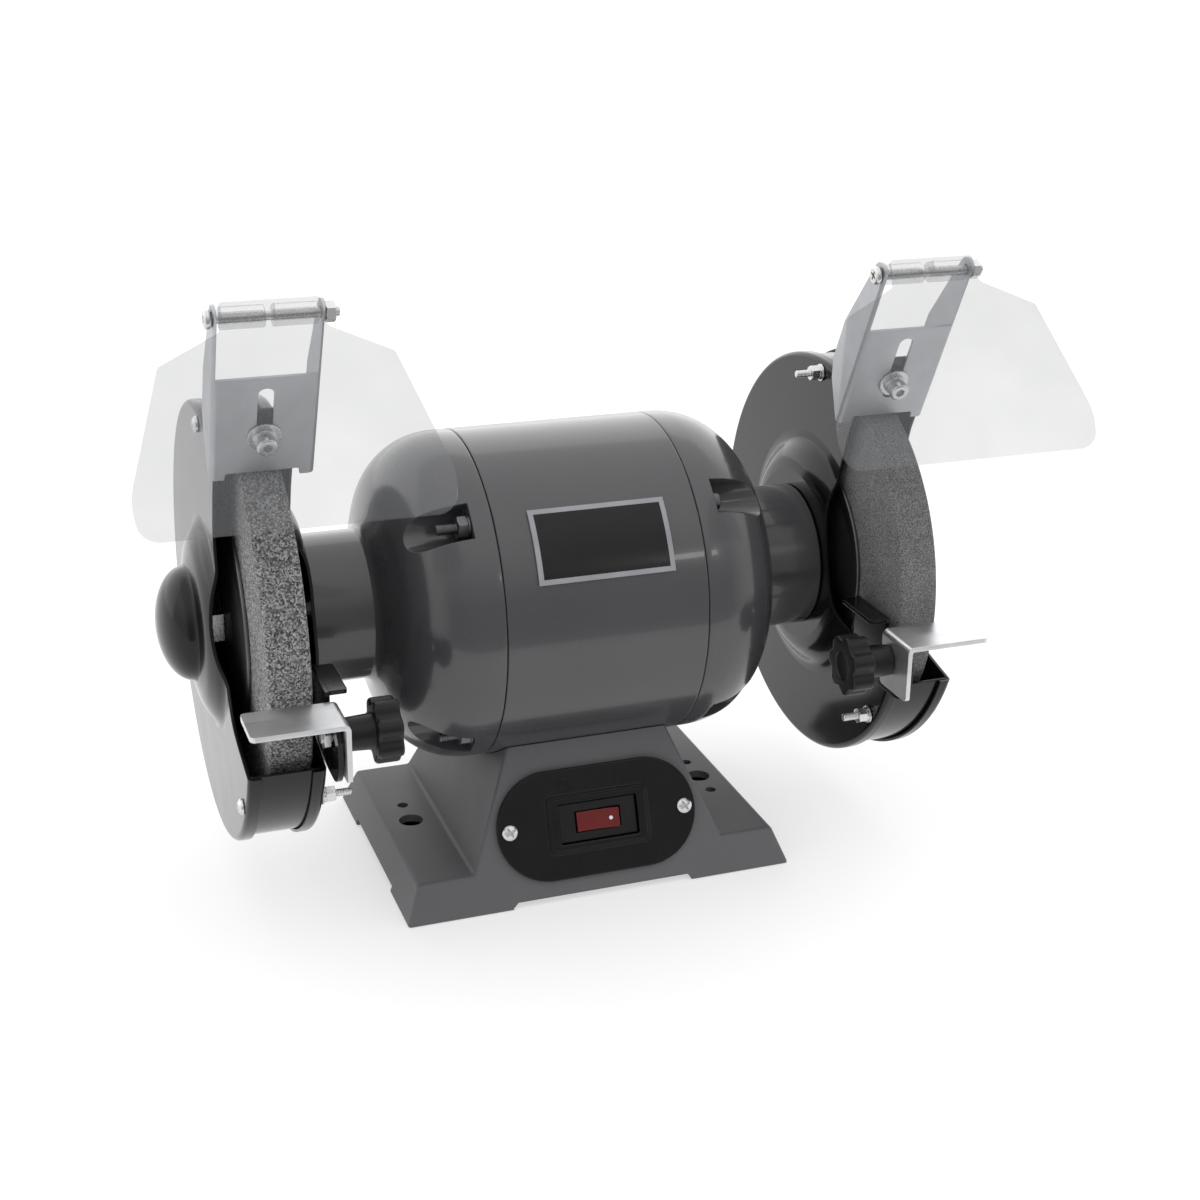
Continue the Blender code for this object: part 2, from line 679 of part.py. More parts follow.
def make_nameplate():
    inner, outer = MOTOR_RADIUS + FIT, MOTOR_RADIUS + FIT + NAMEPLATE_THICK
    low, high = pi - NAMEPLATE_LOW, pi - NAMEPLATE_HIGH
    outline = arc((0, 0), outer, low, high, 9) + arc((0, 0), inner, high, low, 9)
    return slab("nameplate", [outline], NAMEPLATE_HALF * 2, "gloss_plastic", (0, 0, SHAFT_Z))


# ---------------------------------------------------------------- guards
def mouth_outline():
    """The open front of a guard, as (y, z) from the shaft, reaching well past the rim."""
    rim = GUARD_RADIUS
    top_in = along_lean(rim * 0.82, TAB_FRONT - FIT)
    top_out = along_lean(rim * 1.3, TAB_FRONT - FIT)
    edge = [(-0.31, 0.51), (-0.35, 0.24), (-0.42, -0.03), (-0.50, -0.19), (-0.62, -0.29), (-0.92, -0.365)]
    points = [top_out, top_in] + [(rim * u, rim * v) for u, v in edge]
    return points + [(-rim * 1.4, -rim * 0.37), (-rim * 1.4, rim * 1.2)]


def along_lean(reach, out):
    """(y, z) from the shaft: a distance along the leaning bracket plane and out in front of it."""
    return -reach * sin(LEAN) - out * cos(LEAN), reach * cos(LEAN) - out * sin(LEAN)


def guard_screw_holes(obj, side, label):
    for number, angle in enumerate(SCREW_ANGLES):
        y, z = about_shaft(SCREW_CIRCLE, angle)
        cut(obj, rod(
            f"{label}_hole_{number}", SCREW_RADIUS + FIT, (side * (GUARD_IN - 0.01), y, z),
            (side * (GUARD_OUT + 0.01), y, z),
            None, 12,
        ))


def open_mouth(obj, side, label):
    far = slab(f"{label}_mouth", [mouth_outline()], 0.12, None, (side * WHEEL_X, 0, SHAFT_Z))
    return cut(obj, far)


def make_inner_guard(side, label):
    """Pressed pan on the motor side: rim lip, flat web and a hub dished out to meet the neck."""
    out, inn = GUARD_IN, GUARD_IN + SHEET
    hub = NECK_END + FIT
    corner = 0.0025
    profile = [
        (out + LIP_DEPTH, GUARD_RADIUS), (out + corner, GUARD_RADIUS), (out, GUARD_RADIUS - corner),
        (out, HUB_RADIUS + 0.004), (out - 0.0012, HUB_RADIUS + 0.0012), (hub + 0.0012, HUB_RADIUS - 0.0046),
        (hub, HUB_RADIUS - 0.0075), (hub, 0.020), (hub + SHEET, 0.020), (hub + SHEET, HUB_RADIUS - 0.0080),
        (inn, HUB_RADIUS + 0.0035), (inn, GUARD_RADIUS - SHEET * 0.9),
        (out + LIP_DEPTH, GUARD_RADIUS - SHEET * 0.9),
    ]
    guard = turned(f"inner_guard_{label}", flip(profile, side), "black_gloss", steps=36)
    open_mouth(guard, side, f"inner_{label}")
    guard_screw_holes(guard, side, f"inner_{label}")
    return guard


def cover_face():
    """From the flat web inwards: a flared skirt, a crease, and the dome over the nut."""
    rise, run = SKIRT_RISE, SKIRT_RADIUS - DOME_RADIUS
    skirt = ((0.0, 1.0), (0.12, 0.88), (0.42, 0.70), (0.72, 0.46), (0.90, 0.20), (1.0, 0.04))
    points = [(GUARD_OUT + rise * u, DOME_RADIUS + run * v) for u, v in skirt]
    turns = [radians(angle) for angle in (14, 34, 54, 74)]
    return points + [(GUARD_OUT + rise + DOME_HEIGHT * sin(t), DOME_RADIUS * cos(t)) for t in turns]


def make_outer_cover(side, label):
    """Pressed cover on the far side: rim lip, flat web, skirt and dome."""
    out, inn = GUARD_OUT, GUARD_OUT - SHEET
    corner = 0.0025
    tip = GUARD_OUT + SKIRT_RISE + DOME_HEIGHT
    rim_inner = GUARD_RADIUS - SHEET * 0.9
    profile = [
        (out - LIP_DEPTH, rim_inner), (out - LIP_DEPTH, GUARD_RADIUS), (out - corner, GUARD_RADIUS),
        (out, GUARD_RADIUS - corner), *cover_face(), (tip, 0.0), (tip - SHEET, 0.0),
        *[(a - SHEET, r - SHEET * 0.3) for a, r in reversed(cover_face())], (inn, rim_inner),
    ]
    cover = turned(f"outer_cover_{label}", flip(profile, side), "black_gloss", steps=36)
    open_mouth(cover, side, f"outer_{label}")
    guard_screw_holes(cover, side, f"outer_{label}")
    return cover


def make_guard_band(side, label):
    """Rolled strip between the two pans, ending at the top in a tab for the bracket."""
    outer, inner = BAND_RADIUS, BAND_RADIUS - BAND_SHEET
    low, high = GUARD_IN + SHEET + FIT, GUARD_OUT - SHEET - FIT
    top = pi / 2 + LEAN + (TAB_FRONT - 0.0008) / BAND_RADIUS
    bottom = pi + radians(21.8) - 2 * pi
    outline = arc((0, 0), outer, top, bottom, 36) + arc((0, 0), inner, bottom, top, 36)
    middle = side * (low + high) / 2
    band = slab(f"guard_band_{label}", [outline], high - low, "black_gloss", (middle, 0, SHAFT_Z))
    turn = Matrix.Rotation(LEAN, 3, "X")
    plate = block(
        f"tab_plate_{label}", (min(side * TAB_IN, side * TAB_OUT), -TAB_FRONT, inner + 0.0002),
        (max(side * TAB_IN, side * TAB_OUT), -TAB_FRONT + 0.0017, TAB_TOP), None, (0, 0, SHAFT_Z), turn,
    )
    join(band, plate)
    y, z = along_lean(BOLT_REACH, 0.0)
    out = Vector((0, -cos(LEAN), -sin(LEAN)))
    centre = Vector((side * BRACKET_X, y, SHAFT_Z + z))
    return cut(band, rod(f"tab_hole_{label}", 0.0033, centre - out * 0.02, centre + out * 0.02, None, 16))


def make_guard_screws(side, label):
    for number, angle in enumerate(SCREW_ANGLES):
        y, z = about_shaft(SCREW_CIRCLE, angle)
        head, back = GUARD_OUT + FIT, GUARD_IN - FIT
        name = f"guard_screw_{label}_{('upper', 'lower', 'rear')[number]}"
        origin = (0, y, z)
        screw = rod(
            name, SCREW_RADIUS, (side * (back - 0.0145), 0, 0), (side * (head + 0.001), 0, 0), "zinc",
            12, origin,
        )
        join(screw, rod(
            name + "_head", 0.0040, (side * head, 0, 0), (side * (head + 0.0024), 0, 0), None, 16,
            origin,
        ))
        join(screw, rod(
            name + "_washer", 0.0045, (side * (back - 0.0010), 0, 0), (side * back, 0, 0), None, 16,
            origin,
        ))
        join(screw, rod(
            name + "_nut", 0.0041, (side * (back - 0.0065), 0, 0), (side * (back - 0.0009), 0, 0),
            None, 6, origin,
        ))


# ---------------------------------------------------------------- wheels
def make_wheel(side, label, kind):
    x, bore, edge = WHEEL_WIDTH / 2, ARBOR_RADIUS + BORE_FIT, 0.0009
    profile = [
        (-x, bore), (-x, WHEEL_RADIUS - edge), (-x + edge, WHEEL_RADIUS), (x - edge, WHEEL_RADIUS),
        (x, WHEEL_RADIUS - edge), (x, bore),
    ]
    return turned(f"wheel_{label}", profile, kind, side * WHEEL_X, 44)


def make_flange(side, label, inward):
    """A dished clamping washer that bears on the wheel near its rim."""
    wide, bore = FLANGE_WIDTH, ARBOR_RADIUS + BORE_FIT
    profile = [
        (0.0, FLANGE_RADIUS - 0.009), (0.0, FLANGE_RADIUS), (0.0016, FLANGE_RADIUS),
        (0.0028, FLANGE_RADIUS - 0.012),
        (wide, FLANGE_RADIUS - 0.020), (wide, bore), (0.0010, bore), (0.0010, FLANGE_RADIUS - 0.0095),
    ]
    way = -side if inward else side
    name = f"{'inner' if inward else 'outer'}_flange_{label}"
    face = WHEEL_WIDTH / 2 + FIT
    return turned(name, flip(profile, way), "bright_edge_steel", side * WHEEL_X + way * face, 24)


def make_arbor_nut(side, label):
    start = WHEEL_X + WHEEL_WIDTH / 2 + FLANGE_WIDTH + FIT * 2
    origin = (side * start, 0, SHAFT_Z)
    nut = rod(
        f"arbor_nut_{label}", ARBOR_NUT_FLATS / 2 / cos(pi / 6), (0, 0, 0),
        (side * ARBOR_NUT_HEIGHT, 0, 0), "zinc", 6, origin,
    )
    return cut(nut, rod(
        f"nut_bore_{label}", ARBOR_RADIUS + BORE_FIT, (-0.01 * side, 0, 0), (side * 0.02, 0, 0), None,
        24, origin,
    ))


# ---------------------------------------------------------------- tool rests
def make_rest_arm(side, label):
    """Folded bracket on the motor side of the guard, slotted for the rest's stud."""
    end_y, end_z, end_r = STUD_Y - 0.003, STUD_Z - 0.0065, 0.0135
    root = -(HUB_RADIUS + 0.005)
    step = -(WHEEL_RADIUS + REST_GAP - 0.003)
    under = REST_TOP - REST_SHEET - FIT * 2
    outline = [(root, end_z - 0.002), (root - 0.011, end_z - end_r)]
    outline += arc((end_y, end_z), end_r, -pi / 2, -pi, 7)
    outline += [(end_y - end_r, STUD_Z + 0.004), (end_y - 0.006, under), (step, under)]
    outline += [(step, REST_TOP + 0.0035), (root, REST_TOP + 0.0035)]
    half = STUD_RADIUS + 0.0004
    slot = arc((STUD_Y + 0.009, STUD_Z), half, -pi / 2, pi / 2, 7)
    slot += arc((STUD_Y - 0.0065, STUD_Z), half, pi / 2, 3 * pi / 2, 7)
    x = side * (GUARD_IN - FIT - 0.00125)
    arm = slab(f"rest_arm_{label}", [outline, slot], 0.0025, "black_gloss", (x, 0, 0))
    inner, outer = GUARD_IN - FIT - 0.011, GUARD_IN - FIT - 0.001
    low = (min(side * inner, side * outer), step + 0.001, REST_TOP + 0.0012)
    high = (max(side * inner, side * outer), root - 0.001, REST_TOP + 0.0034)
    return join(arm, block(f"arm_fold_{label}", low, high, None))


def make_tool_rest(side, label):
    """Bent strip: a table in front of the wheel and a tab down its motor side."""
    near, far = -(WHEEL_RADIUS + REST_GAP), -(WHEEL_RADIUS + REST_GAP + REST_DEPTH)
    outline = rounded(
        [
            (side * REST_IN, far), (side * (REST_IN + REST_WIDTH), far),
            (side * (REST_IN + REST_WIDTH), near), (side * REST_IN, near),
        ],
        0.003,
    )
    table = slab(
        f"tool_rest_{label}", [outline], REST_SHEET, "zinc", (0, 0, REST_TOP - REST_SHEET / 2),
        Matrix.Identity(3),
    )
    hang = rounded(
        [
            (far + 0.001, REST_TOP - TAB_DROP), (near - 0.001, REST_TOP - TAB_DROP),
            (near - 0.001, REST_TOP - 0.0002), (far + 0.001, REST_TOP - 0.0002),
        ],
        0.0018, 3,
    )
    hole = ring((STUD_Y, STUD_Z), STUD_RADIUS + FIT, 16)
    tab = slab(f"rest_tab_{label}", [hang, hole], 0.0023, None, (side * (REST_IN + 0.00118), 0, 0))
    return join(table, tab)


def make_rest_stud(side, label):
    start = REST_IN - 0.0142
    stop = GUARD_IN + 0.0045
    origin = (0, STUD_Y, STUD_Z)
    stud = rod(
        f"rest_stud_{label}", STUD_RADIUS, (side * start, 0, 0), (side * stop, 0, 0), "zinc", 16,
        origin,
    )
    nut_low, nut_high = GUARD_IN, GUARD_IN + 0.0035
    return join(stud, rod(
        f"stud_nut_{label}", 0.0055, (side * nut_low, 0, 0), (side * nut_high, 0, 0), None, 6, origin,
    ))


def make_knob(side, label):
    """Lobed clamping knob with a long round collar, turning on the stud."""
    count = KNOB_LOBES * 6
    lobes = []
    for i in range(count):
        angle = 2 * pi * i / count
        reach = KNOB_RADIUS - 0.0026 * (0.5 - 0.5 * cos(KNOB_LOBES * angle)) ** 1.5
        lobes.append((reach * cos(angle), reach * sin(angle)))
    collar_end = REST_IN - FIT
    head_in = collar_end - KNOB_LENGTH
    origin = (0, STUD_Y, STUD_Z)
    middle = side * (head_in + KNOB_THICK / 2)
    knob = slab(f"knob_{label}", [lobes], KNOB_THICK, "black_plastic", (middle, STUD_Y, STUD_Z))
    join(knob, rod(
        f"collar_{label}", KNOB_COLLAR, (side * (head_in + KNOB_THICK - 0.001), 0, 0),
        (side * collar_end, 0, 0), None, 20, origin,
    ))
    return cut(knob, rod(
        f"knob_bore_{label}", STUD_RADIUS + FIT, (side * (REST_IN - 0.0150), 0, 0),
        (side * (collar_end + 0.002), 0, 0), None, 16, origin,
    ))


# ---------------------------------------------------------------- shields
LEAN_TURN = Matrix.Rotation(LEAN, 3, "X")


def make_shield_bracket(side, label):
    """Folded channel: slotted face over the guard tab, two cheeks that rise to the hinge ears."""
    face_low, face_high = TAB_FRONT + FIT, TAB_FRONT + FIT + SHEET
    half, cheek_in = BRACKET_HALF, BRACKET_HALF - SHEET
    tuck = half - SHEET / 3
    outline = [
        (-tuck, BRACKET_LOW), (-NOTCH_HALF - 0.0015, BRACKET_LOW), (-NOTCH_HALF, BRACKET_LOW + NOTCH_RISE),
        (NOTCH_HALF, BRACKET_LOW + NOTCH_RISE), (NOTCH_HALF + 0.0015, BRACKET_LOW), (tuck, BRACKET_LOW),
        (tuck, BRACKET_HIGH), (-tuck, BRACKET_HIGH),
    ]
    slot = arc((0, SLOT_HIGH - SLOT_HALF_WIDTH), SLOT_HALF_WIDTH, 0, pi, 8)
    slot += arc((0, SLOT_LOW + SLOT_HALF_WIDTH), SLOT_HALF_WIDTH, pi, 2 * pi, 8)
    origin = Vector((side * BRACKET_X, 0, SHAFT_Z))
    upright = LEAN_TURN @ Matrix.Rotation(pi / 2, 3, "X")
    middle = origin + LEAN_TURN @ Vector((0, -(face_low + face_high) / 2, 0))
    bracket = slab(f"shield_bracket_{label}", [outline, slot], SHEET, "zinc", middle, upright)
    back = face_high - FLANGE_DEPTH
    edge, foot = -face_high - 0.0001, BRACKET_LOW + 0.0004
    cheek = [
        (edge, foot), (-face_low + 0.0006, foot), (-back - 0.004, BRACKET_LOW + 0.016),
        (-back, BRACKET_LOW + 0.026), (-back, BRACKET_HIGH - 0.010),
    ]
    cheek += arc((0, HINGE_REACH), EAR_RADIUS, 0.35, pi - 0.1, 9)
    cheek += [(edge, BRACKET_HIGH + 0.002)]
    hole = ring((0, HINGE_REACH), HINGE_BOLT_RADIUS + FIT, 14)
    for way in (-1, 1):
        x = way * (half + cheek_in) / 2
        place = origin + Vector((x, 0, 0))
        join(bracket, slab(f"cheek_{label}_{way}", [cheek, hole], SHEET, None, place, LEAN_TURN @ SIDEWAYS))
    return bracket


def make_bracket_bolt(side, label):
    y, z = along_lean(BOLT_REACH, 0.0)
    origin = Vector((side * BRACKET_X, y, SHAFT_Z + z))
    out = Vector((0, -cos(LEAN), -sin(LEAN)))
    face = TAB_FRONT + FIT + SHEET + FIT
    bolt = rod(f"bracket_bolt_{label}", 0.0029, out * -0.009, out * (face + 0.003), "zinc", 16, origin)
    join(bolt, rod(f"bolt_washer_{label}", 0.0078, out * face, out * (face + 0.0014), None, 20, origin))
    join(bolt, rod(
        f"bolt_spring_{label}", 0.0052, out * (face + 0.0012), out * (face + 0.0032), None, 16, origin,
    ))
    join(bolt, rod(
        f"bolt_cap_{label}", 0.0048, out * (face + 0.003), out * (face + 0.0085), None, 16, origin,
    ))
    cut(bolt, rod(
        f"bolt_socket_{label}", 0.0024, out * (face + 0.0055), out * (face + 0.010), None, 6, origin,
    ))
    back = TAB_FRONT - 0.0017 - FIT
    return join(bolt, rod(f"bolt_nut_{label}", 0.0056, out * (back - 0.005), out * back, None, 6, origin))


def hinge_point(side):
    y, z = along_lean(HINGE_REACH, 0.0)
    return Vector((side * BRACKET_X, y, SHAFT_Z + z))


def make_shield(side, label):
    """Clear plate hung in front of the bracket from two moulded hinge barrels."""
    origin = hinge_point(side)
    turn = Matrix.Rotation(-SHIELD_LEAN, 3, "X")
    tongue, neck = SHIELD_HALF_TOP, SHIELD_HALF_TOP + 0.001
    outline = [
        (-tongue, 0.004), (-neck, -0.0095), (-SHIELD_HALF_SHOULDER, -SHIELD_SHOULDER), (
            -SHIELD_HALF_WIDE, -SHIELD_WIDEST,
        )]
    outline += arc((-SHIELD_HALF_WIDE + 0.0135, -SHIELD_LENGTH + 0.0125), 0.0125, pi + 0.15, 3 * pi / 2, 6)
    outline += arc((SHIELD_HALF_WIDE - 0.0135, -SHIELD_LENGTH + 0.0125), 0.0125, -pi / 2, -0.15, 6)
    outline += [
        (SHIELD_HALF_WIDE, -SHIELD_WIDEST), (SHIELD_HALF_SHOULDER, -SHIELD_SHOULDER), (neck, -0.0095),
        (tongue, 0.004),
    ]
    upright = turn @ Matrix.Rotation(pi / 2, 3, "X")
    out = turn @ Vector((0, -1, 0))
    middle = SHIELD_OFFSET + SHIELD_SHEET / 2
    shield = slab(f"shield_{label}", [outline], SHIELD_SHEET, "clear_plastic", origin, upright)
    for vert in shield.data.vertices:
        vert.co += out * middle
    gap = 0.0016
    for way in (-1, 1):
        start, end = way * gap, way * (tongue - 0.0006)
        join(shield, rod(
            f"hinge_barrel_{label}_{way}", BARREL_RADIUS, (start, 0, 0), (end, 0, 0), None, 18, origin,
        ))
        low = (min(start, end), -SHIELD_OFFSET - 0.001, -0.0035)
        high = (max(start, end), -0.001, 0.0035)
        join(shield, block(f"hinge_web_{label}_{way}", low, high, None, origin, turn))
    return cut(shield, rod(
        f"hinge_bore_{label}", HINGE_BOLT_RADIUS + FIT, (-0.04, 0, 0), (0.04, 0, 0), None, 16, origin,
    ))


def make_hinge_bolt(side, label):
    origin = hinge_point(side)
    reach = BRACKET_HALF + FIT
    bolt = rod(
        f"hinge_bolt_{label}", HINGE_BOLT_RADIUS, (-reach - 0.001, 0, 0), (reach + 0.0065, 0, 0),
        "zinc", 16, origin,
    )
    join(bolt, rod(
        f"hinge_head_{label}", 0.0044, (-reach - 0.0032, 0, 0), (-reach, 0, 0), None, 20, origin,
    ))
    return join(bolt, rod(
        f"hinge_nut_{label}", 0.0048, (reach, 0, 0), (reach + 0.0045, 0, 0), None, 6, origin,
    ))


# ---------------------------------------------------------------- assembly
make_base()
make_base_plate()
make_capacitor()
make_cable_gland()
make_switch_plate()
make_switch_housing()
make_switch_rocker()
make_plate_screws()
make_barrel()
make_stator()
make_rotor()
make_shaft()
make_through_bolts()
make_nameplate()
for side, label, grit in ((-1, "left", "coarse_grit"), (1, "right", "fine_grit")):
    make_end_bell(side, label)
    make_bearing(side, label)
    make_inner_guard(side, label)
    make_guard_band(side, label)
    make_outer_cover(side, label)
    make_guard_screws(side, label)
    make_wheel(side, label, grit)
    make_flange(side, label, True)
    make_flange(side, label, False)
    make_arbor_nut(side, label)
    make_rest_arm(side, label)
    make_tool_rest(side, label)
    make_rest_stud(side, label)
    make_knob(side, label)
    make_shield_bracket(side, label)
    make_bracket_bolt(side, label)
    make_shield(side, label)
    make_hinge_bolt(side, label)
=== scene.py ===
"""Looks for the bench grinder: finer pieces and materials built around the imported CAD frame."""

from math import atan2, cos, pi, radians, sin, tan

import bmesh
import bpy
from mathutils import Matrix, Vector


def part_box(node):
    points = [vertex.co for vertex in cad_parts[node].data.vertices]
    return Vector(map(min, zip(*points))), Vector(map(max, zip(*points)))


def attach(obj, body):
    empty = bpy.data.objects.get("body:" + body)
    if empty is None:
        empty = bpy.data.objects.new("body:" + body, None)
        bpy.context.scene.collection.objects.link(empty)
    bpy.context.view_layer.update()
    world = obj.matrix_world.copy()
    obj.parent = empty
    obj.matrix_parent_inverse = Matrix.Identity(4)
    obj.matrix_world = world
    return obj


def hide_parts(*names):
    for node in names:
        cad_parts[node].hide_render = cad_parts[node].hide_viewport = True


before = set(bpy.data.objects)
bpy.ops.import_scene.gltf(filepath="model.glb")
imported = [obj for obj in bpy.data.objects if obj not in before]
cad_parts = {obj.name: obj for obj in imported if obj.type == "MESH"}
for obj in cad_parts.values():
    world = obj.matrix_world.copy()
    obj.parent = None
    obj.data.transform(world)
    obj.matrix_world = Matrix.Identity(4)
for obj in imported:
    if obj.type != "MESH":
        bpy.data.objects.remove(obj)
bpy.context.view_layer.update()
SIDES = ((-1, "left"), (1, "right"))


# ---------------------------------------------------------------- sizes read from the frame
def middle(node):
    low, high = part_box(node)
    return (low + high) / 2


def half_size(node):
    low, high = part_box(node)
    return (high - low) / 2


SHAFT = middle("wheel_right")
FRONT_SHIFT = SHAFT.y
SHAFT_Z = SHAFT.z
WHEEL_X = SHAFT.x
WHEEL_RADIUS = half_size("wheel_right").z
WHEEL_WIDTH = half_size("wheel_right").x * 2
MOTOR_RADIUS = half_size("motor_barrel").z
BARREL_HALF = half_size("motor_barrel").x
NECK_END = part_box("end_bell_right")[1].x
NECK_GAP = 0.0093
GUARD_DEPTH = 0.0365
GUARD_IN = NECK_END + NECK_GAP
GUARD_OUT = GUARD_IN + GUARD_DEPTH
GUARD_RADIUS = half_size("inner_guard_right").z

CENTRE = (0.0, 0.0, 0.0)
FIT = 0.0003
DEEP = 0.24
MOTOR_HALF = 0.102
NECK_RADIUS = 0.038
BOLT_CIRCLE = 0.0765
POCKET_FLOOR = 0.0625
POCKET_RADIUS = 0.0095
SHEET = 0.0015
BAND_RADIUS = GUARD_RADIUS - 0.0021
BAND_SHEET = 0.0012
LIP_DEPTH = 0.0065
HUB_RADIUS = 0.0605
SKIRT_RADIUS = 0.053
SKIRT_RISE = 0.0088
DOME_RADIUS = 0.0285
DOME_HEIGHT = 0.0162
SCREW_CIRCLE = (WHEEL_RADIUS + BAND_RADIUS - BAND_SHEET) / 2
SCREW_RADIUS = 0.0019
SCREW_ANGLES = {"upper": radians(86.0), "lower": radians(-37.0), "rear": radians(204.5)}
LEAN = radians(26.0)
TAB_FRONT = 0.0032
TAB_TOP = WHEEL_RADIUS + 0.038
BRACKET_HALF = 0.0242
BRACKET_X = 0.1588
BRACKET_LOW = WHEEL_RADIUS - 0.001
BRACKET_HIGH = WHEEL_RADIUS + 0.0585
FLANGE_DEPTH = 0.022
SLOT_HALF_WIDTH = 0.0037
SLOT_LOW = WHEEL_RADIUS + 0.014
SLOT_HIGH = WHEEL_RADIUS + 0.0524
BOLT_REACH = WHEEL_RADIUS + 0.0245
HINGE_REACH = WHEEL_RADIUS + 0.0895
EAR_RADIUS = 0.0062
HINGE_BOLT_RADIUS = 0.0023
BARREL_RADIUS = 0.0050
SHIELD_LEAN = radians(33.5)
SHIELD_OFFSET = 0.0068
SHIELD_SHEET = 0.0026
REST_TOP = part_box("tool_rest_right")[1].z
REST_SHEET = 0.0025
REST_LEG = 0.0023
REST_BEND = 0.0030
REST_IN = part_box("tool_rest_right")[0].x
REST_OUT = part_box("tool_rest_right")[1].x
REST_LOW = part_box("tool_rest_right")[0].z
REST_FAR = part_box("tool_rest_right")[0].y - FRONT_SHIFT
REST_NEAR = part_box("tool_rest_right")[1].y - FRONT_SHIFT
STUD_Y = middle("rest_stud_right").y - FRONT_SHIFT
STUD_Z = middle("rest_stud_right").z
STUD_LINE = (0.0, STUD_Y, STUD_Z)
STUD_RADIUS = 0.0028
KNOB_RADIUS = 0.0155
KNOB_THICK = 0.012
KNOB_LOBES = 7
KNOB_REACH = 0.0255
BASE_HALF = half_size("base").x
BASE_FRONT = -0.0811
BASE_BACK = 0.0683
WING_Z = 0.0193
WING_HALF = 0.0959
BASE_WALL = 0.0044
WING_HOLE_X = 0.082
WING_HOLE_RADIUS = 0.0063
PILOT_RADIUS = 0.0028
SLOPE = 0.39
PEDESTAL_HALF = 0.0668
PEDESTAL_TOP_HALF = 0.042
PEDESTAL_TOP = 0.079
PLATE_CENTRE = 0.0397
PLATE_HALF = 0.0535
PLATE_HEIGHT = 0.056
PLATE_THICK = 0.0022
PLATE_SCREW_X = 0.0472
MARK_HALF = 0.0030
ROCKER_TIP = radians(7.0)

FRONT_LIGHT = 0.44
TOP_LIGHT = 1.25
SIDE_LIGHT = 0.6
BACK_LIGHT = 1.75
BACKDROP = 1.02
FLOOR_EDGE = -0.42
FLOOR_GLOW = 0.515


# ---------------------------------------------------------------- mesh helpers
def mesh_from(name, bm):
    mesh = bpy.data.meshes.new(name)
    bmesh.ops.recalc_face_normals(bm, faces=bm.faces)
    bm.to_mesh(mesh)
    bm.free()
    return mesh


def put(name, mesh, origin=CENTRE):
    """Links a mesh at a point given from the shaft's plan position."""
    obj = bpy.data.objects.new(name, mesh)
    obj.location = Vector(origin) + Vector((0.0, FRONT_SHIFT, 0.0))
    bpy.context.scene.collection.objects.link(obj)
    return obj


def settle(obj):
    """Applies the object's modifiers to its mesh."""
    bpy.context.view_layer.update()
    depsgraph = bpy.context.evaluated_depsgraph_get()
    mesh = bpy.data.meshes.new_from_object(obj.evaluated_get(depsgraph))
    obj.modifiers.clear()
    obj.data = mesh
    return obj


def combine(obj, other, how="UNION"):
    change = obj.modifiers.new(how.lower(), "BOOLEAN")
    change.operation = how
    change.object = other
    settle(obj)
    bpy.data.objects.remove(other)
    return obj


def cut(obj, other):
    return combine(obj, other, "DIFFERENCE")


def keep(obj, other):
    return combine(obj, other, "INTERSECT")


def soften(obj, width, segments=2, angle=28.0):
    """Rounds the edges that are sharper than the angle."""
    bevel = obj.modifiers.new("edges", "BEVEL")
    bevel.width = width
    bevel.segments = segments
    bevel.limit_method = "ANGLE"
    bevel.angle_limit = radians(angle)
    return settle(obj)


def polish(obj, angle=38.0):
    """Smooth shading that keeps flat faces flat."""
    obj.data.shade_smooth()
    obj.data.set_sharp_from_angle(angle=radians(angle))
    weigh = obj.modifiers.new("normals", "WEIGHTED_NORMAL")
    weigh.keep_sharp = True
    weigh.weight = 60
    return obj


def eased(points, radius, count=4, closed=True):
    """An outline with its corners rounded, by no more than its edges allow."""
    out = []
    total = len(points)
    for i, here in enumerate(points):
        if not closed and i in (0, total - 1):
            out.append(tuple(here))
            continue
        here = Vector(here)
        back = Vector(points[i - 1]) - here
        on = Vector(points[(i + 1) % total]) - here
        room = 0.46 * min(back.length, on.length)
        back, on = back.normalized(), on.normalized()
        half = back.angle(on) / 2
        if half > radians(86.0):
            out.append(tuple(here))
            continue
        reach = min(radius / tan(half), room)
        bend = reach * tan(half)
        centre = here + (back + on).normalized() * bend / sin(half)
        first = here + back * reach - centre
        last = here + on * reach - centre
        start = atan2(first.y, first.x)
        sweep = atan2(first.x * last.y - first.y * last.x, first.dot(last))
        out += arc(centre, bend, start, start + sweep, count)
    return out


def arc(centre, radius, start, end, count):
    step = (end - start) / (count - 1)
    return [
        (centre[0] + radius * cos(start + step * i), centre[1] + radius * sin(start + step * i))
        for i in range(count)
    ]


def corners(left, low, right, high):
    return [(left, low), (right, low), (right, high), (left, high)]


def ring(centre, radius, count=32):
    return arc(centre, radius, 0.0, 2 * pi * (count - 1) / count, count)


def curve_through(points, per=6):
    """A smooth line through the points."""
    out = []
    last = len(points) - 1
    for i in range(last):
        p0, p1 = Vector(points[max(i - 1, 0)]), Vector(points[i])
        p2, p3 = Vector(points[i + 1]), Vector(points[min(i + 2, last)])
        for k in range(per):
            t = k / per
            out.append(tuple(0.5 * (
                2 * p1 + (p2 - p0) * t + (2 * p0 - 5 * p1 + 4 * p2 - p3) * t * t
                + (3 * p1 - p0 - 3 * p2 + p3) * t * t * t
            )))
    out.append(tuple(points[-1]))
    return out


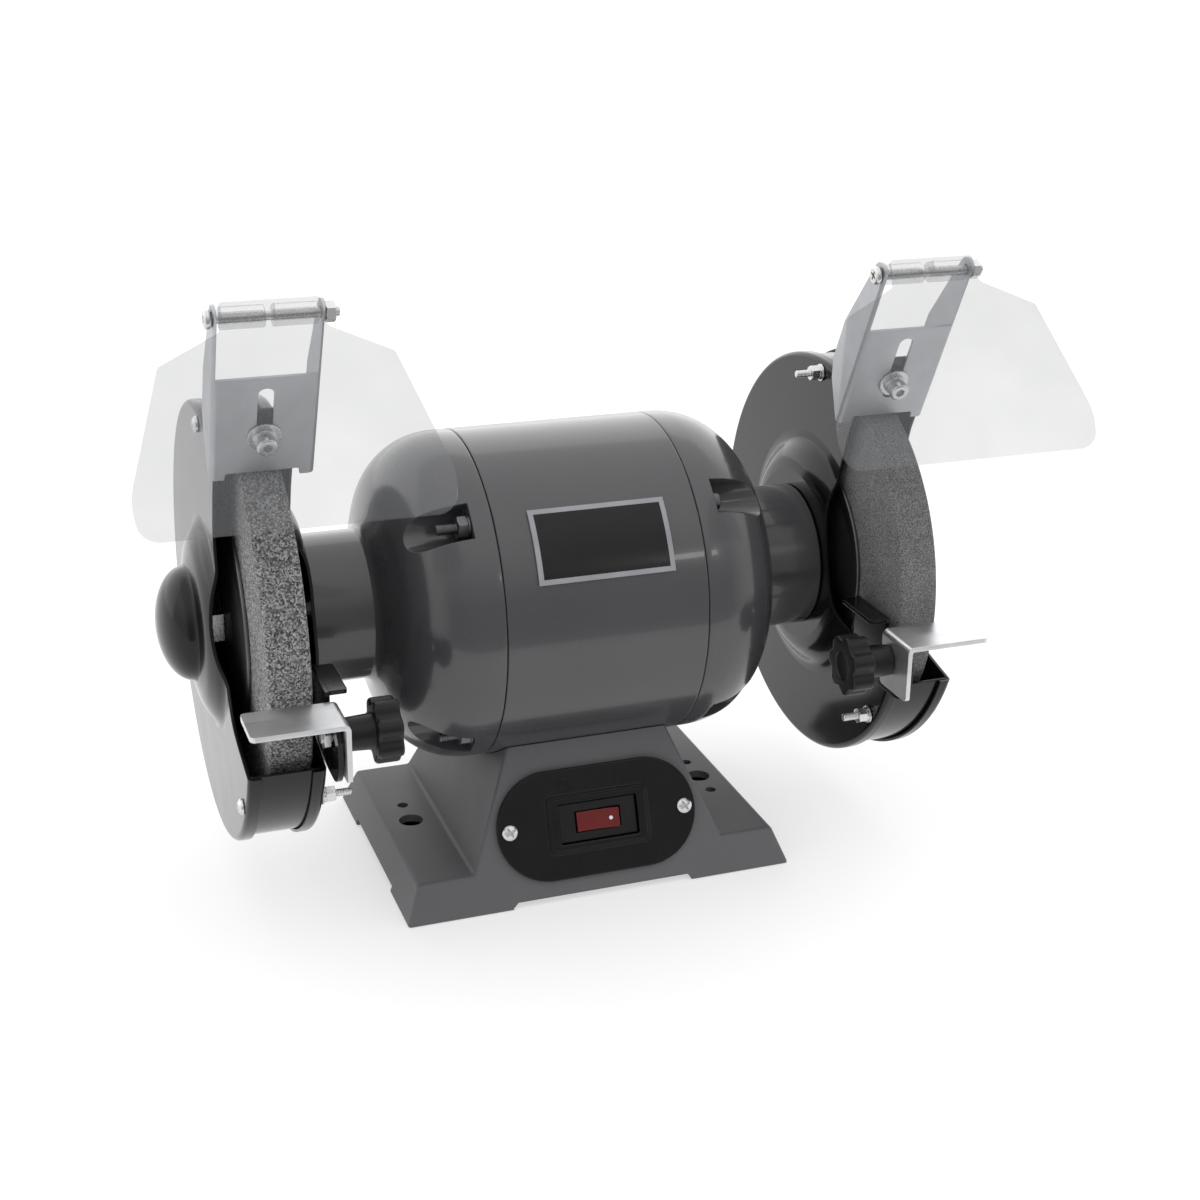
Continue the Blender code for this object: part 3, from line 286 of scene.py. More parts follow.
def turned(name, profile, x=0.0, steps=128, axis_yz=(0.0, None)):
    """A solid of revolution about a line along X, from a closed profile of (along X, radius)."""
    centre_y, centre_z = axis_yz
    bm = bmesh.new()
    rows = []
    for a, r in profile:
        if r < 1e-6:
            rows.append([bm.verts.new((a, 0.0, 0.0))])
        else:
            rows.append([
                bm.verts.new((a, -r * cos(2 * pi * i / steps), r * sin(2 * pi * i / steps)))
                for i in range(steps)
            ])
    for first, second in zip(rows, rows[1:] + rows[:1]):
        if len(first) == 1 and len(second) == 1:
            continue
        for i in range(steps):
            j = (i + 1) % steps
            quad = (
                first[i % len(first)], first[j % len(first)], second[j % len(second)],
                second[i % len(second)],
            )
            bm.faces.new(list(dict.fromkeys(quad)))
    z = SHAFT_Z if centre_z is None else centre_z
    return put(name, mesh_from(name, bm), (x, centre_y, z))


SIDEWAYS = Matrix(((0, 0, 1), (1, 0, 0), (0, 1, 0)))
FLAT = Matrix.Identity(3)
UPRIGHT = Matrix.Rotation(pi / 2, 3, "X")
LEAN_TURN = Matrix.Rotation(LEAN, 3, "X")
SLOPE_TURN = Matrix.Rotation(pi / 2 - atan2(SLOPE, 1.0), 3, "X")


def slab(name, loops, thick, origin=CENTRE, turn=SIDEWAYS, round_by=0.0):
    """A sheet from an outline and its holes, its edges rounded. Unturned it lies in the YZ plane."""
    curve = bpy.data.curves.new(name, "CURVE")
    curve.dimensions = "2D"
    curve.fill_mode = "BOTH"
    curve.extrude = thick / 2 - round_by
    curve.bevel_depth = round_by
    curve.bevel_resolution = 2
    curve.offset = -round_by
    for loop in loops:
        spline = curve.splines.new("POLY")
        spline.points.add(len(loop) - 1)
        for point, (u, v) in zip(spline.points, loop):
            point.co = (u, v, 0.0, 1.0)
        spline.use_cyclic_u = True
    outline = bpy.data.objects.new(name + "_outline", curve)
    bpy.context.scene.collection.objects.link(outline)
    bpy.context.view_layer.update()
    solid = bpy.data.meshes.new_from_object(
        outline.evaluated_get(bpy.context.evaluated_depsgraph_get())
    )
    bpy.data.objects.remove(outline)
    bm = bmesh.new()
    bm.from_mesh(solid)
    bmesh.ops.remove_doubles(bm, verts=bm.verts, dist=0.000002)
    bmesh.ops.transform(bm, verts=bm.verts, matrix=turn.to_4x4())
    return put(name, mesh_from(name, bm), origin)


def block(low, high, origin=CENTRE, turn=None):
    bm = bmesh.new()
    size = Vector(high) - Vector(low)
    place = Matrix.Translation((Vector(high) + Vector(low)) / 2) @ Matrix.Diagonal((*size, 1.0))
    if turn is not None:
        place = turn.to_4x4() @ place
    bmesh.ops.create_cube(bm, size=1.0, matrix=place)
    return put("block", mesh_from("block", bm), origin)


def rod(radius, start, end, sides=32, origin=CENTRE):
    start, end = Vector(start), Vector(end)
    along = end - start
    bm = bmesh.new()
    place = Matrix.Translation((start + end) / 2) @ along.to_track_quat("Z", "Y").to_matrix().to_4x4()
    bmesh.ops.create_cone(
        bm, cap_ends=True, segments=sides, radius1=radius, radius2=radius,
        depth=along.length, matrix=place,
    )
    return put("rod", mesh_from("rod", bm), origin)


def bar(radius, start, end, sides, origin):
    """A rod along X between two distances from origin."""
    return rod(radius, (start, 0, 0), (end, 0, 0), sides, origin)


def disc(low, high, radius, ease, count):
    """The profile of a disc between two distances along its axis, its rims rounded."""
    return eased([(low, 0.0), (low, radius), (high, radius), (high, 0.0)], ease, count)


def spun(name, profile, origin, way, steps=40):
    """A solid of revolution about a line through origin that points along way."""
    made = turned(name, profile, steps=steps)
    turn = Vector(way).to_track_quat("X", "Z").to_matrix().to_4x4()
    made.data.transform(turn)
    made.location = Vector(origin) + Vector((0.0, FRONT_SHIFT, 0.0))
    return made


def thread(start, end, radius, pitch=0.0008):
    """Profile points of a screw thread's ridges from start to end, ends chamfered."""
    count = max(2, int(abs(end - start) / pitch))
    step = (end - start) / count
    points = [(start, 0.0), (start, radius * 0.78)]
    for i in range(count):
        points.append((start + step * (i + 0.25), radius * 0.86))
        points.append((start + step * (i + 0.75), radius))
    return points + [(end, radius * 0.78), (end, 0.0)]


def hexagon(flats, start, end, origin, way, bore=0.0):
    """A chamfered nut or bolt head between two distances along way."""
    corner = flats / 2 / cos(pi / 6)
    way = Vector(way).normalized()
    nut = rod(corner, way * start, way * end, 6, origin)
    low, high = min(start, end), max(start, end)
    rim = corner - flats / 2
    dome = [
        (low, 0.0), (low, flats / 2 * 0.97), (low + rim * 0.75, corner * 1.01),
        (high - rim * 0.75, corner * 1.01), (high, flats / 2 * 0.97), (high, 0.0),
    ]
    keep(nut, spun("nut_dome", dome, origin, way, 48))
    if bore:
        cut(nut, rod(bore, way * (low - 0.01), way * (high + 0.01), 32, origin))
    return nut


def about_shaft(radius, angle):
    return -radius * cos(angle), SHAFT_Z + radius * sin(angle)


def flip(profile, side):
    return [(side * a, r) for a, r in profile]


def along_lean(reach, out):
    return -reach * sin(LEAN) - out * cos(LEAN), reach * cos(LEAN) - out * sin(LEAN)


def on_slope(x, up, out):
    return Vector((0.0, BASE_FRONT, 0.0)) + SLOPE_TURN @ Vector((x, up, out))


def spans(first, second):
    return min(first, second), max(first, second)


# ---------------------------------------------------------------- materials
class Shader:
    """A Principled material and the nodes that feed it."""

    def __init__(self, name):
        self.material = bpy.data.materials.new(name)
        self.material.use_nodes = True
        self.tree = self.material.node_tree
        self.surface = self.tree.nodes["Principled BSDF"]
        self.place = self.node("ShaderNodeTexCoord").outputs["Object"]

    def node(self, kind, **values):
        made = self.tree.nodes.new(kind)
        for key, value in values.items():
            setattr(made, key, value)
        return made

    def link(self, out, into):
        self.tree.links.new(out, into)

    def set(self, **values):
        for key, value in values.items():
            self.surface.inputs[key.replace("_", " ")].default_value = value
        return self

    def stretched(self, x, y, z):
        mapping = self.node("ShaderNodeMapping")
        mapping.inputs["Scale"].default_value = (x, y, z)
        self.link(self.place, mapping.inputs["Vector"])
        return mapping.outputs["Vector"]

    def noise(self, scale, detail=3.0, roughness=0.55, vector=None):
        made = self.node("ShaderNodeTexNoise")
        made.inputs["Scale"].default_value = scale
        made.inputs["Detail"].default_value = detail
        made.inputs["Roughness"].default_value = roughness
        self.link(vector or self.place, made.inputs["Vector"])
        return made.outputs["Fac"]

    def cells(self, scale, feature="F1", output="Color"):
        made = self.node("ShaderNodeTexVoronoi", feature=feature)
        made.inputs["Scale"].default_value = scale
        self.link(self.place, made.inputs["Vector"])
        return made.outputs[output]

    def ramp(self, value, *stops):
        made = self.node("ShaderNodeValToRGB")
        elements = made.color_ramp.elements
        while len(elements) < len(stops):
            elements.new(0.5)
        for element, (position, colour) in zip(elements, stops):
            element.position = position
            element.color = grey(colour)
        self.link(value, made.inputs["Fac"])
        return made.outputs["Color"]

    def span(self, value, low, high, into):
        made = self.node("ShaderNodeMapRange")
        made.inputs["To Min"].default_value = low
        made.inputs["To Max"].default_value = high
        self.link(value, made.inputs["Value"])
        self.link(made.outputs["Result"], into)

    def mix(self, factor, first, second, kind="MIX"):
        made = self.node("ShaderNodeMix", data_type="RGBA", blend_type=kind)
        for value, socket in ((factor, made.inputs[0]), (first, made.inputs[6]), (second, made.inputs[7])):
            if isinstance(value, bpy.types.NodeSocket):
                self.link(value, socket)
            elif isinstance(value, float) and socket.name != "Factor":
                socket.default_value = grey(value)
            else:
                socket.default_value = value
        return made.outputs[2]

    def colour(self, value):
        self.link(value, self.surface.inputs["Base Color"])

    def rough(self, value, low, high):
        self.span(value, low, high, self.surface.inputs["Roughness"])

    def edges(self, radius):
        """A normal that rounds the edges of the mesh."""
        made = self.node("ShaderNodeBevel", samples=4)
        made.inputs["Radius"].default_value = radius
        return made.outputs["Normal"]

    def bump(self, height, strength, distance, normal=None):
        made = self.node("ShaderNodeBump")
        made.inputs["Strength"].default_value = strength
        made.inputs["Distance"].default_value = distance
        self.link(height, made.inputs["Height"])
        if normal is not None:
            self.link(normal, made.inputs["Normal"])
        return made.outputs["Normal"]

    def normal(self, value):
        self.link(value, self.surface.inputs["Normal"])


def grey(value):
    return (value, value, value, 1.0) if isinstance(value, float) else (*value, 1.0)


def enamel(name, dark, light, roughness, coat, ior=1.5, edge=0.0007):
    """Sprayed gloss enamel: soft tone changes, orange peel and a few dust nibs."""
    s = Shader(name)
    tone = s.ramp(s.noise(7.0, 4.0), (0.3, dark), (0.7, light))
    nibs = s.ramp(s.noise(1400.0, 1.0), (0.73, 0.0), (0.79, 1.0))
    brighter = tuple(min(1.0, c * 1.5 + 0.01) for c in light)
    s.colour(s.mix(nibs, tone, grey(brighter)))
    s.rough(s.noise(38.0, 4.0), roughness - 0.05, roughness + 0.08)
    s.set(Coat_Weight=coat, Coat_Roughness=0.05, Coat_IOR=1.5, IOR=ior)
    peel = s.bump(s.noise(420.0, 2.0), 0.10, 0.00016, s.edges(edge))
    s.normal(s.bump(s.noise(2600.0, 2.0), 0.05, 0.00005, peel))
    return s.material


def zinc(name, tint, roughness, brush, strength=0.10):
    """Plated sheet or wire: brushed lines, cloudy passivation and handling scratches."""
    s = Shader(name)
    cloud = s.ramp(s.noise(55.0, 5.0, 0.6), (0.25, tuple(c * 0.80 for c in tint)), (0.75, tint))
    spots = s.ramp(s.noise(900.0, 2.0), (0.68, 0.0), (0.78, 1.0))
    s.colour(s.mix(spots, cloud, grey(tuple(c * 0.62 for c in tint))))
    lines = s.noise(1.0, 3.0, 0.6, s.stretched(*brush))
    s.rough(lines, roughness - 0.08, roughness + 0.16)
    s.set(Metallic=1.0, Anisotropic=0.35)
    fine = s.bump(lines, strength, 0.00008, s.edges(0.0004))
    s.normal(s.bump(s.noise(160.0, 4.0), 0.05, 0.0002, fine))
    return s.material


def grit(name, scale, dark, mid, light, depth):
    """Bonded abrasive: separate grains of different greys, pores, and a few grains lightened as painted
    glints.
    """
    s = Shader(name)
    grain = s.ramp(s.cells(scale), (0.12, dark), (0.42, mid), (0.82, light))
    fine = s.ramp(s.noise(scale * 1.7, 2.0, 0.7), (0.34, 0.55), (0.66, 1.35))
    tone = s.mix(1.0, grain, fine, "MULTIPLY")
    wear = s.ramp(s.noise(34.0, 4.0), (0.3, 0.86), (0.7, 1.08))
    tone = s.mix(1.0, tone, wear, "MULTIPLY")
    # painted glint: a few grains lightened in the colour to stand in for light glinting off their facets
    painted_glint = s.ramp(s.cells(scale * 0.83), (0.975, 0.0), (0.985, 1.0))
    s.colour(s.mix(painted_glint, tone, min(0.8, light * 1.9)))
    s.rough(s.cells(scale * 0.83), 0.95, 0.55)
    s.set(Specular_IOR_Level=0.35)
    pores = s.bump(s.cells(scale, "F1", "Distance"), 0.75, depth)
    s.normal(s.bump(s.noise(scale * 1.7, 3.0, 0.7), 0.6, depth * 0.8, pores))
    return s.material


def plastic(name, colour, roughness, grain=0.12, coat=0.0, ior=1.49):
    """Moulded plastic with a fine spark-eroded texture."""
    s = Shader(name)
    s.colour(s.ramp(s.noise(60.0, 4.0), (0.3, colour), (0.7, tuple(c * 1.25 + 0.002 for c in colour))))
    s.rough(s.noise(220.0, 3.0), roughness - 0.05, roughness + 0.08)
    s.set(Coat_Weight=coat, Coat_Roughness=0.06, IOR=ior)
    s.normal(s.bump(s.noise(2400.0, 2.0), grain, 0.00008, s.edges(0.0005)))
    return s.material


def clear(name, tint, low, high, rim):
    """Clear polycarbonate: a faint grey veil, glossy, denser where it's seen edge on; the veil's patchy
    density is partly haze and partly painted reflection, and the edge-on density is painted edge reflection.
    """
    s = Shader(name)
    s.colour(s.ramp(s.noise(9.0, 3.0), (0.3, tint), (0.7, tuple(c * 1.15 for c in tint))))
    s.rough(s.noise(75.0, 4.0), 0.03, 0.10)
    s.set(IOR=1.5)
    facing = s.node("ShaderNodeLayerWeight")
    facing.inputs["Blend"].default_value = 0.30
    # patchy opacity: partly haze in the sheet, partly painted reflection bands
    haze_and_painted_reflection = s.ramp(s.noise(11.0, 3.0), (0.25, low), (0.75, high))
    # painted edge reflection: opacity rises where the sheet is seen edge on
    edge = s.ramp(facing.outputs["Facing"], (0.55, 0.0), (0.97, rim))
    s.link(s.mix(1.0, haze_and_painted_reflection, edge, "ADD"), s.surface.inputs["Alpha"])
    scuffs = s.noise(1.0, 2.0, 0.6, s.stretched(700.0, 60.0, 60.0))
    s.normal(s.bump(scuffs, 0.02, 0.00004))
    return s.material


BRUSH_X = (25.0, 900.0, 900.0)
BRUSH_Y = (900.0, 25.0, 900.0)
BRUSH_Z = (900.0, 900.0, 25.0)
LOOKS = {
    "grey_paint": enamel("look_grey_paint", (0.050, 0.0505, 0.054), (0.060, 0.0605, 0.064), 0.20, 0.35),
    # the base's enamel is a lighter copy of the motor's grey, likely the same paint; the extra lightness is
    # painted light on the base
    "base_paint_painted_light": enamel("look_base_paint", (0.100, 0.1005, 0.106), (0.116, 0.1165, 0.122), 0.48, 0.0, 1.4),
    "black_gloss": enamel(
        "look_black_gloss", (0.002, 0.002, 0.0025), (0.004, 0.004, 0.0045), 0.12, 0.0, 1.38,
    ),
    "rest_zinc": zinc("look_rest_zinc", (0.72, 0.725, 0.735), 0.34, BRUSH_X),
    "bracket_zinc": zinc("look_bracket_zinc", (0.54, 0.55, 0.57), 0.46, BRUSH_Z, 0.12),
    "bolt_zinc": zinc("look_bolt_zinc", (0.70, 0.70, 0.70), 0.22, BRUSH_Y),
    "steel": zinc("look_steel", (0.50, 0.50, 0.51), 0.30, BRUSH_Y),
    "dark_steel": zinc("look_dark_steel", (0.16, 0.16, 0.17), 0.38, BRUSH_Y),
    "winding": zinc("look_winding", (0.50, 0.24, 0.11), 0.36, BRUSH_Y, 0.3),
    "coarse_grit": grit("look_coarse_grit", 1250.0, 0.035, 0.15, 0.42, 0.0006),
    "fine_grit": grit("look_fine_grit", 2300.0, 0.075, 0.15, 0.29, 0.00035),
    "clear_plastic": clear("look_clear_plastic", (0.20, 0.205, 0.215), 0.17, 0.26, 0.50),
    "black_plastic": plastic("look_black_plastic", (0.005, 0.005, 0.0055), 0.34, 0.12, 0.0, 1.36),
    "gloss_black_plastic": plastic(
        "look_gloss_black_plastic", (0.0025, 0.0025, 0.003), 0.20, 0.05, 0.0, 1.36,
    ),
    "red_plastic": plastic("look_red_plastic", (0.11, 0.0025, 0.002), 0.20, 0.04),
    "white_ink": plastic("look_white_ink", (0.72, 0.72, 0.76), 0.35),
    "label_grey": plastic("look_label_grey", (0.26, 0.26, 0.28), 0.32),
}


def dress(obj, look, body, nodes=(), angle=38.0):
    """Gives a finished piece its material and body, and hides the CAD nodes it stands for."""
    obj.data.materials.clear()
    obj.data.materials.append(LOOKS[look])
    polish(obj, angle)
    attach(obj, body)
    if nodes:
        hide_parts(*nodes)
    return obj


# ---------------------------------------------------------------- base
def base_depth(z, wall=0.0):
    return BASE_FRONT + SLOPE * z + wall, BASE_BACK - SLOPE * z - wall


def frustum(name, low, high):
    bm = bmesh.new()
    bmesh.ops.create_cube(bm, size=2.0)
    for vert in bm.verts:
        half, near, far, z = high if vert.co.z > 0 else low
        vert.co = (half if vert.co.x > 0 else -half, far if vert.co.y > 0 else near, z)
    return put(name, mesh_from(name, bm))


def make_base():
    half = [
        (BASE_HALF, 0.0), (WING_HALF, WING_Z), (PEDESTAL_HALF, WING_Z), (PEDESTAL_TOP_HALF, PEDESTAL_TOP),
    ]
    outline = half + [(-x, z) for x, z in reversed(half)]
    base = slab("base_shell", [outline], DEEP, turn=UPRIGHT)
    reach = BASE_HALF + 0.02
    keep(base, frustum(
        "base_wedge", (reach, *base_depth(-0.01), -0.01), (reach, *base_depth(0.089), 0.089),
    ))
    bm = bmesh.new()
    bm.from_mesh(base.data)
    bmesh.ops.dissolve_limit(bm, angle_limit=0.01, verts=bm.verts, edges=bm.edges)
    base.data = mesh_from("base_shell", bm)
    soften(base, 0.0016, 3)
    wall = BASE_WALL
    cut(base, frustum(
        "base_hollow", (BASE_HALF - wall, *base_depth(-0.001, wall), -0.001),
        (WING_HALF - wall, *base_depth(0.0153, wall), 0.0153),
    ))
    foot = BASE_HALF * 0.46
    relief = [(-foot, -0.01), (foot, -0.01), (foot + 0.001, 0.0012), (foot - 0.0018, 0.0035)]
    relief += [(-foot + 0.0018, 0.0035), (-foot - 0.001, 0.0012)]
    cut(base, slab("front_relief", [relief], DEEP, turn=UPRIGHT))
    cut(base, block((-0.12, -0.043, -0.01), (0.12, 0.033, 0.0035)))
    cut(base, rod(MOTOR_RADIUS + FIT, (-0.07, 0, SHAFT_Z), (0.07, 0, SHAFT_Z), 128))
    holes = [(x, -0.006, WING_HOLE_RADIUS) for x in (-WING_HOLE_X, WING_HOLE_X)]
    holes += [(x, 0.0118, PILOT_RADIUS) for x in (-WING_HOLE_X, WING_HOLE_X)]
    holes += [(WING_HOLE_X, -0.0238, PILOT_RADIUS)]
    for x, y, radius in holes:
        cut(base, rod(radius, (x, y, 0.01), (x, y, 0.03), 48))
    cut(base, block(
        (-0.0215, PLATE_CENTRE - 0.0105, -0.02), (0.0215, PLATE_CENTRE + 0.0105, 0.02),
        (0, BASE_FRONT, 0), SLOPE_TURN,
    ))
    cut(base, rod(0.0068, (0, 0.03, 0.030), (0, 0.09, 0.030), 32))
    dress(base, "base_paint_painted_light", "housing", ["base"], 30.0)


# ---------------------------------------------------------------- switch
def plate_rectangle(half_x, half_y, radius):
    return eased(corners(-half_x, PLATE_CENTRE - half_y, half_x, PLATE_CENTRE + half_y), radius, 8)


def make_switch():
    end = PLATE_HEIGHT / 2
    straight = PLATE_HALF - end
    outline = arc((straight, PLATE_CENTRE), end, -pi / 2, pi / 2, 40)
    outline += arc((-straight, PLATE_CENTRE), end, pi / 2, 3 * pi / 2, 40)
    well = plate_rectangle(0.0212, 0.0102, 0.0012)
    plate = slab(
        "switch_panel", [outline, well], PLATE_THICK, on_slope(0, 0, FIT + PLATE_THICK / 2),
        SLOPE_TURN, 0.0006,
    )
    rims = (
        (0.0280, 0.0156, 0.0040, 0.0026), (0.0268, 0.0144, 0.0032, 0.0036), (0.0256, 0.0133, 0.0026, 0.0042),
    )
    for number, (half_x, half_y, radius, rise) in enumerate(rims):
        rim = slab(
            f"panel_rim_{number}", [plate_rectangle(half_x, half_y, radius), well], rise - 0.001,
            on_slope(0, 0, FIT + 0.001 + (rise - 0.001) / 2), SLOPE_TURN, 0.0005,
        )
        combine(plate, rim)
    dress(plate, "gloss_black_plastic", "housing", ["switch_plate"], 30.0)

    top = FIT + PLATE_THICK
    bezel = slab(
        "switch_body", [plate_rectangle(0.0209, 0.0099, 0.0008)], 0.018 + top,
        on_slope(0, 0, (top - 0.018) / 2), SLOPE_TURN, 0.0006,
    )
    cut(bezel, slab(
        "rocker_well", [plate_rectangle(0.01225, 0.00545, 0.0004)], 0.03, on_slope(0, 0, 0.005), SLOPE_TURN,
    ))
    dress(bezel, "black_plastic", "housing", ["switch_housing"], 30.0)

    rise, half = 0.0032 + 0.0118 * sin(2 * ROCKER_TIP) * 0.5, 0.0118
    profile = curve_through([(half - 0.0008, rise), (half * 0.5, 0.00345), (0.0, 0.0032)], 6)
    side_view = [(-half + 0.0004, 0.0004), (-0.004, -0.0035), (0.004, -0.0035), (half - 0.0004, 0.0004)]
    side_view += profile + [(-x, z) for x, z in reversed(profile[:-1])]
    place = SLOPE_TURN @ Matrix.Rotation(-ROCKER_TIP, 3, "Y") @ UPRIGHT
    pivot = on_slope(0, PLATE_CENTRE, 0.0002)
    rocker = slab("rocker_cap", [side_view], 0.0100, pivot, place, 0.00035)
    dress(rocker, "red_plastic", "rocker", ["switch_rocker"], 30.0)
    tip = SLOPE_TURN @ Matrix.Rotation(-ROCKER_TIP, 3, "Y")
    dot_out = 0.0032 + (rise - 0.0032) * 0.42
    way = tip @ Vector((-0.13, 0, 1))
    dot = spun(
        "rocker_dot", [(0.0, 0.0), (0.0, 0.00105), (0.00022, 0.0009), (0.0003, 0.0)],
        pivot + tip @ Vector((0.0068, 0, dot_out)), way, 32,
    )
    dress(dot, "white_ink", "rocker")

    for label, x in (("off", -0.0165), ("on", 0.0120)):
        base_point = on_slope(x, PLATE_CENTRE + 0.0205, FIT + PLATE_THICK - 0.0002)
        if label == "off":
            loops = [ring((0, 0), MARK_HALF, 40), ring((0, 0), MARK_HALF - 0.0010, 40)]
        else:
            loops = [eased(corners(-0.0006, -MARK_HALF, 0.0006, MARK_HALF), 0.0003)]
        mark = slab(f"mark_{label}", loops, 0.0013, base_point, SLOPE_TURN, 0.0002)
        dress(mark, "gloss_black_plastic", "housing", ())

    out = SLOPE_TURN @ Vector((0, 0, 1))
    for side, label in SIDES:
        origin = on_slope(side * PLATE_SCREW_X, PLATE_CENTRE, 0)
        low, high = FIT + PLATE_THICK + FIT, FIT + PLATE_THICK + FIT + 0.0022
        head = eased([(low, 0.0042), (low + 0.0009, 0.0041), (high - 0.0002, 0.0026)], 0.0012, 6, False)
        screw = spun(f"panel_screw_{label}", [(low, 0.0), *head, (high, 0.0)], origin, out, 48)
        for turn in (0.0, pi / 2):
            arm = SLOPE_TURN @ Matrix.Rotation(turn + 0.5, 3, "Z")
            ends = (-0.0026, -0.0005, low + 0.0009), (0.0026, 0.0005, high + 0.002)
            cut(screw, block(*ends, origin, arm))
        cone = [(low + 0.0009, 0.0), (high + 0.0003, 0.0012), (high + 0.0003, 0.0)]
        cut(screw, spun("cone", cone, origin, out, 24))
        dress(screw, "bolt_zinc", "housing", [f"plate_screw_{label}"])


# ---------------------------------------------------------------- motor
def bolt_yz(index):
    return about_shaft(BOLT_CIRCLE, pi / 4 + index * pi / 2)


def make_barrel():
    x, inner = BARREL_HALF, MOTOR_RADIUS - 0.012
    profile = [(-x, inner), (-x, MOTOR_RADIUS), (x, MOTOR_RADIUS), (x, inner)]
    barrel = turned("barrel_shell", eased(profile, 0.0007, 4), steps=160)
    dress(barrel, "grey_paint", "housing", ["motor_barrel"])


def make_bell(side, label):
    joint = BARREL_HALF + FIT
    tall, room = MOTOR_RADIUS, MOTOR_HALF - joint
    dome = [
        (0.0, 1.0), (0.24, 0.996), (0.45, 0.966), (0.63, 0.908), (0.78, 0.826), (0.89, 0.722),
        (0.96, 0.600),
    ]
    outside = curve_through([(joint + room * u, tall * v) for u, v in dome], 5)
    fillet = curve_through(
        [outside[-1], (MOTOR_HALF + 0.0006, NECK_RADIUS + 0.0030), (MOTOR_HALF + 0.0036, NECK_RADIUS)],
        4,
    )
    profile = [(joint, tall - 0.0007), (joint + 0.0004, tall - 0.0002)] + outside[1:] + fillet[1:]
    profile += [
        (NECK_END - 0.0006, NECK_RADIUS), (NECK_END, NECK_RADIUS - 0.0006), (NECK_END, 0.030),
        (0.112, 0.030),
    ]
    profile += [(0.112, 0.020), (0.096, 0.030), (0.082, 0.052), (0.066, 0.060), (joint, 0.066)]
    bell = turned(f"bell_{label}", flip(profile, side), steps=160)
    for index in range(4):
        y, z = bolt_yz(index)
        floor, far = side * POCKET_FLOOR, side * 0.101
        out = Vector((0.0, y, z - SHAFT_Z)).normalized()
        turn = Matrix((Vector((1, 0, 0)), Vector((0.0, -out.z, out.y)), out)).transposed()
        scoop = [
            (floor, 0.0), (floor, POCKET_RADIUS * 0.93), (floor + side * 0.001, POCKET_RADIUS),
            (far, POCKET_RADIUS), (far, 0.0),
        ]
        pocket = spun(f"pocket_{label}_{index}", scoop, (0, y, z), (1, 0, 0), 40)
        low, high = spans(floor, far)
        combine(pocket, block((low, -POCKET_RADIUS, 0.0), (high, POCKET_RADIUS, 0.03), (0, y, z), turn))
        cut(bell, pocket)
        low, high = spans(side * 0.050, side * 0.066)
        cut(bell, rod(0.0032, (low, y, z), (high, y, z), 24))
    dress(bell, "grey_paint", "housing", [f"end_bell_{label}"], 32.0)


def make_through_bolts():
    names = ("front_upper", "rear_upper", "rear_lower", "front_lower")
    for index, label in enumerate(names):
        y, z = bolt_yz(index)
        origin, floor = (0.0, y, z), POCKET_FLOOR + FIT
        bolt = turned(
            f"long_bolt_{label}", thread(-floor - 0.016, -floor + 0.004, 0.0027, 0.0009), 0, 32,
            (y, z),
        )
        combine(bolt, bar(0.0024, -floor + 0.002, floor + 0.002, 24, origin))
        combine(bolt, hexagon(0.0102, -floor - 0.0060, -floor - 0.0008, origin, (1, 0, 0)))
        combine(bolt, bar(0.0060, -floor - 0.0009, -floor, 40, origin))
        cap = eased([(floor, 0.0049), (floor + 0.0038, 0.0046), (floor + 0.0045, 0.0030)], 0.001, 5, False)
        combine(bolt, spun(
            "long_head", [(floor, 0.0), *cap, (floor + 0.0045, 0.0)], origin, (1, 0, 0), 40,
        ))
        dress(bolt, "dark_steel", "housing", [f"through_bolt_{label}"])


def make_nameplate():
    low, high = pi - radians(20.5), pi - radians(46.0)
    inner = MOTOR_RADIUS + FIT
    rim = slab(
        "label_rim", [arc((0, 0), inner + 0.0009, low, high, 40) + arc((0, 0), inner, high, low, 40)],
        0.070, (0, 0, SHAFT_Z), SIDEWAYS, 0.0002,
    )
    margin = 0.0026 / MOTOR_RADIUS
    a, b = low - margin, high + margin
    field = arc((0, 0), inner + 0.0010, a, b, 40) + arc((0, 0), inner + 0.0005, b, a, 40)
    dress(rim, "label_grey", "housing", ["nameplate"])
    panel = slab("label_panel", [field], 0.0648, (0, 0, SHAFT_Z), SIDEWAYS, 0.0001)
    dress(panel, "gloss_black_plastic", "housing", ())


# ---------------------------------------------------------------- guards
def mouth_outline():
    rim = GUARD_RADIUS
    edge = curve_through(
        [(-0.31, 0.51), (-0.35, 0.24), (-0.42, -0.03), (-0.50, -0.19), (-0.62, -0.29), (-0.92, -0.365)],
        5,
    )
    points = [along_lean(rim * 1.3, TAB_FRONT - FIT), along_lean(rim * 0.82, TAB_FRONT - FIT)]
    points += [(rim * u, rim * v) for u, v in edge]
    return points + [(-rim * 1.4, -rim * 0.37), (-rim * 1.4, rim * 1.2)]


def open_mouth(obj, side):
    return cut(obj, slab("mouth", [mouth_outline()], 0.12, (side * WHEEL_X, 0, SHAFT_Z)))


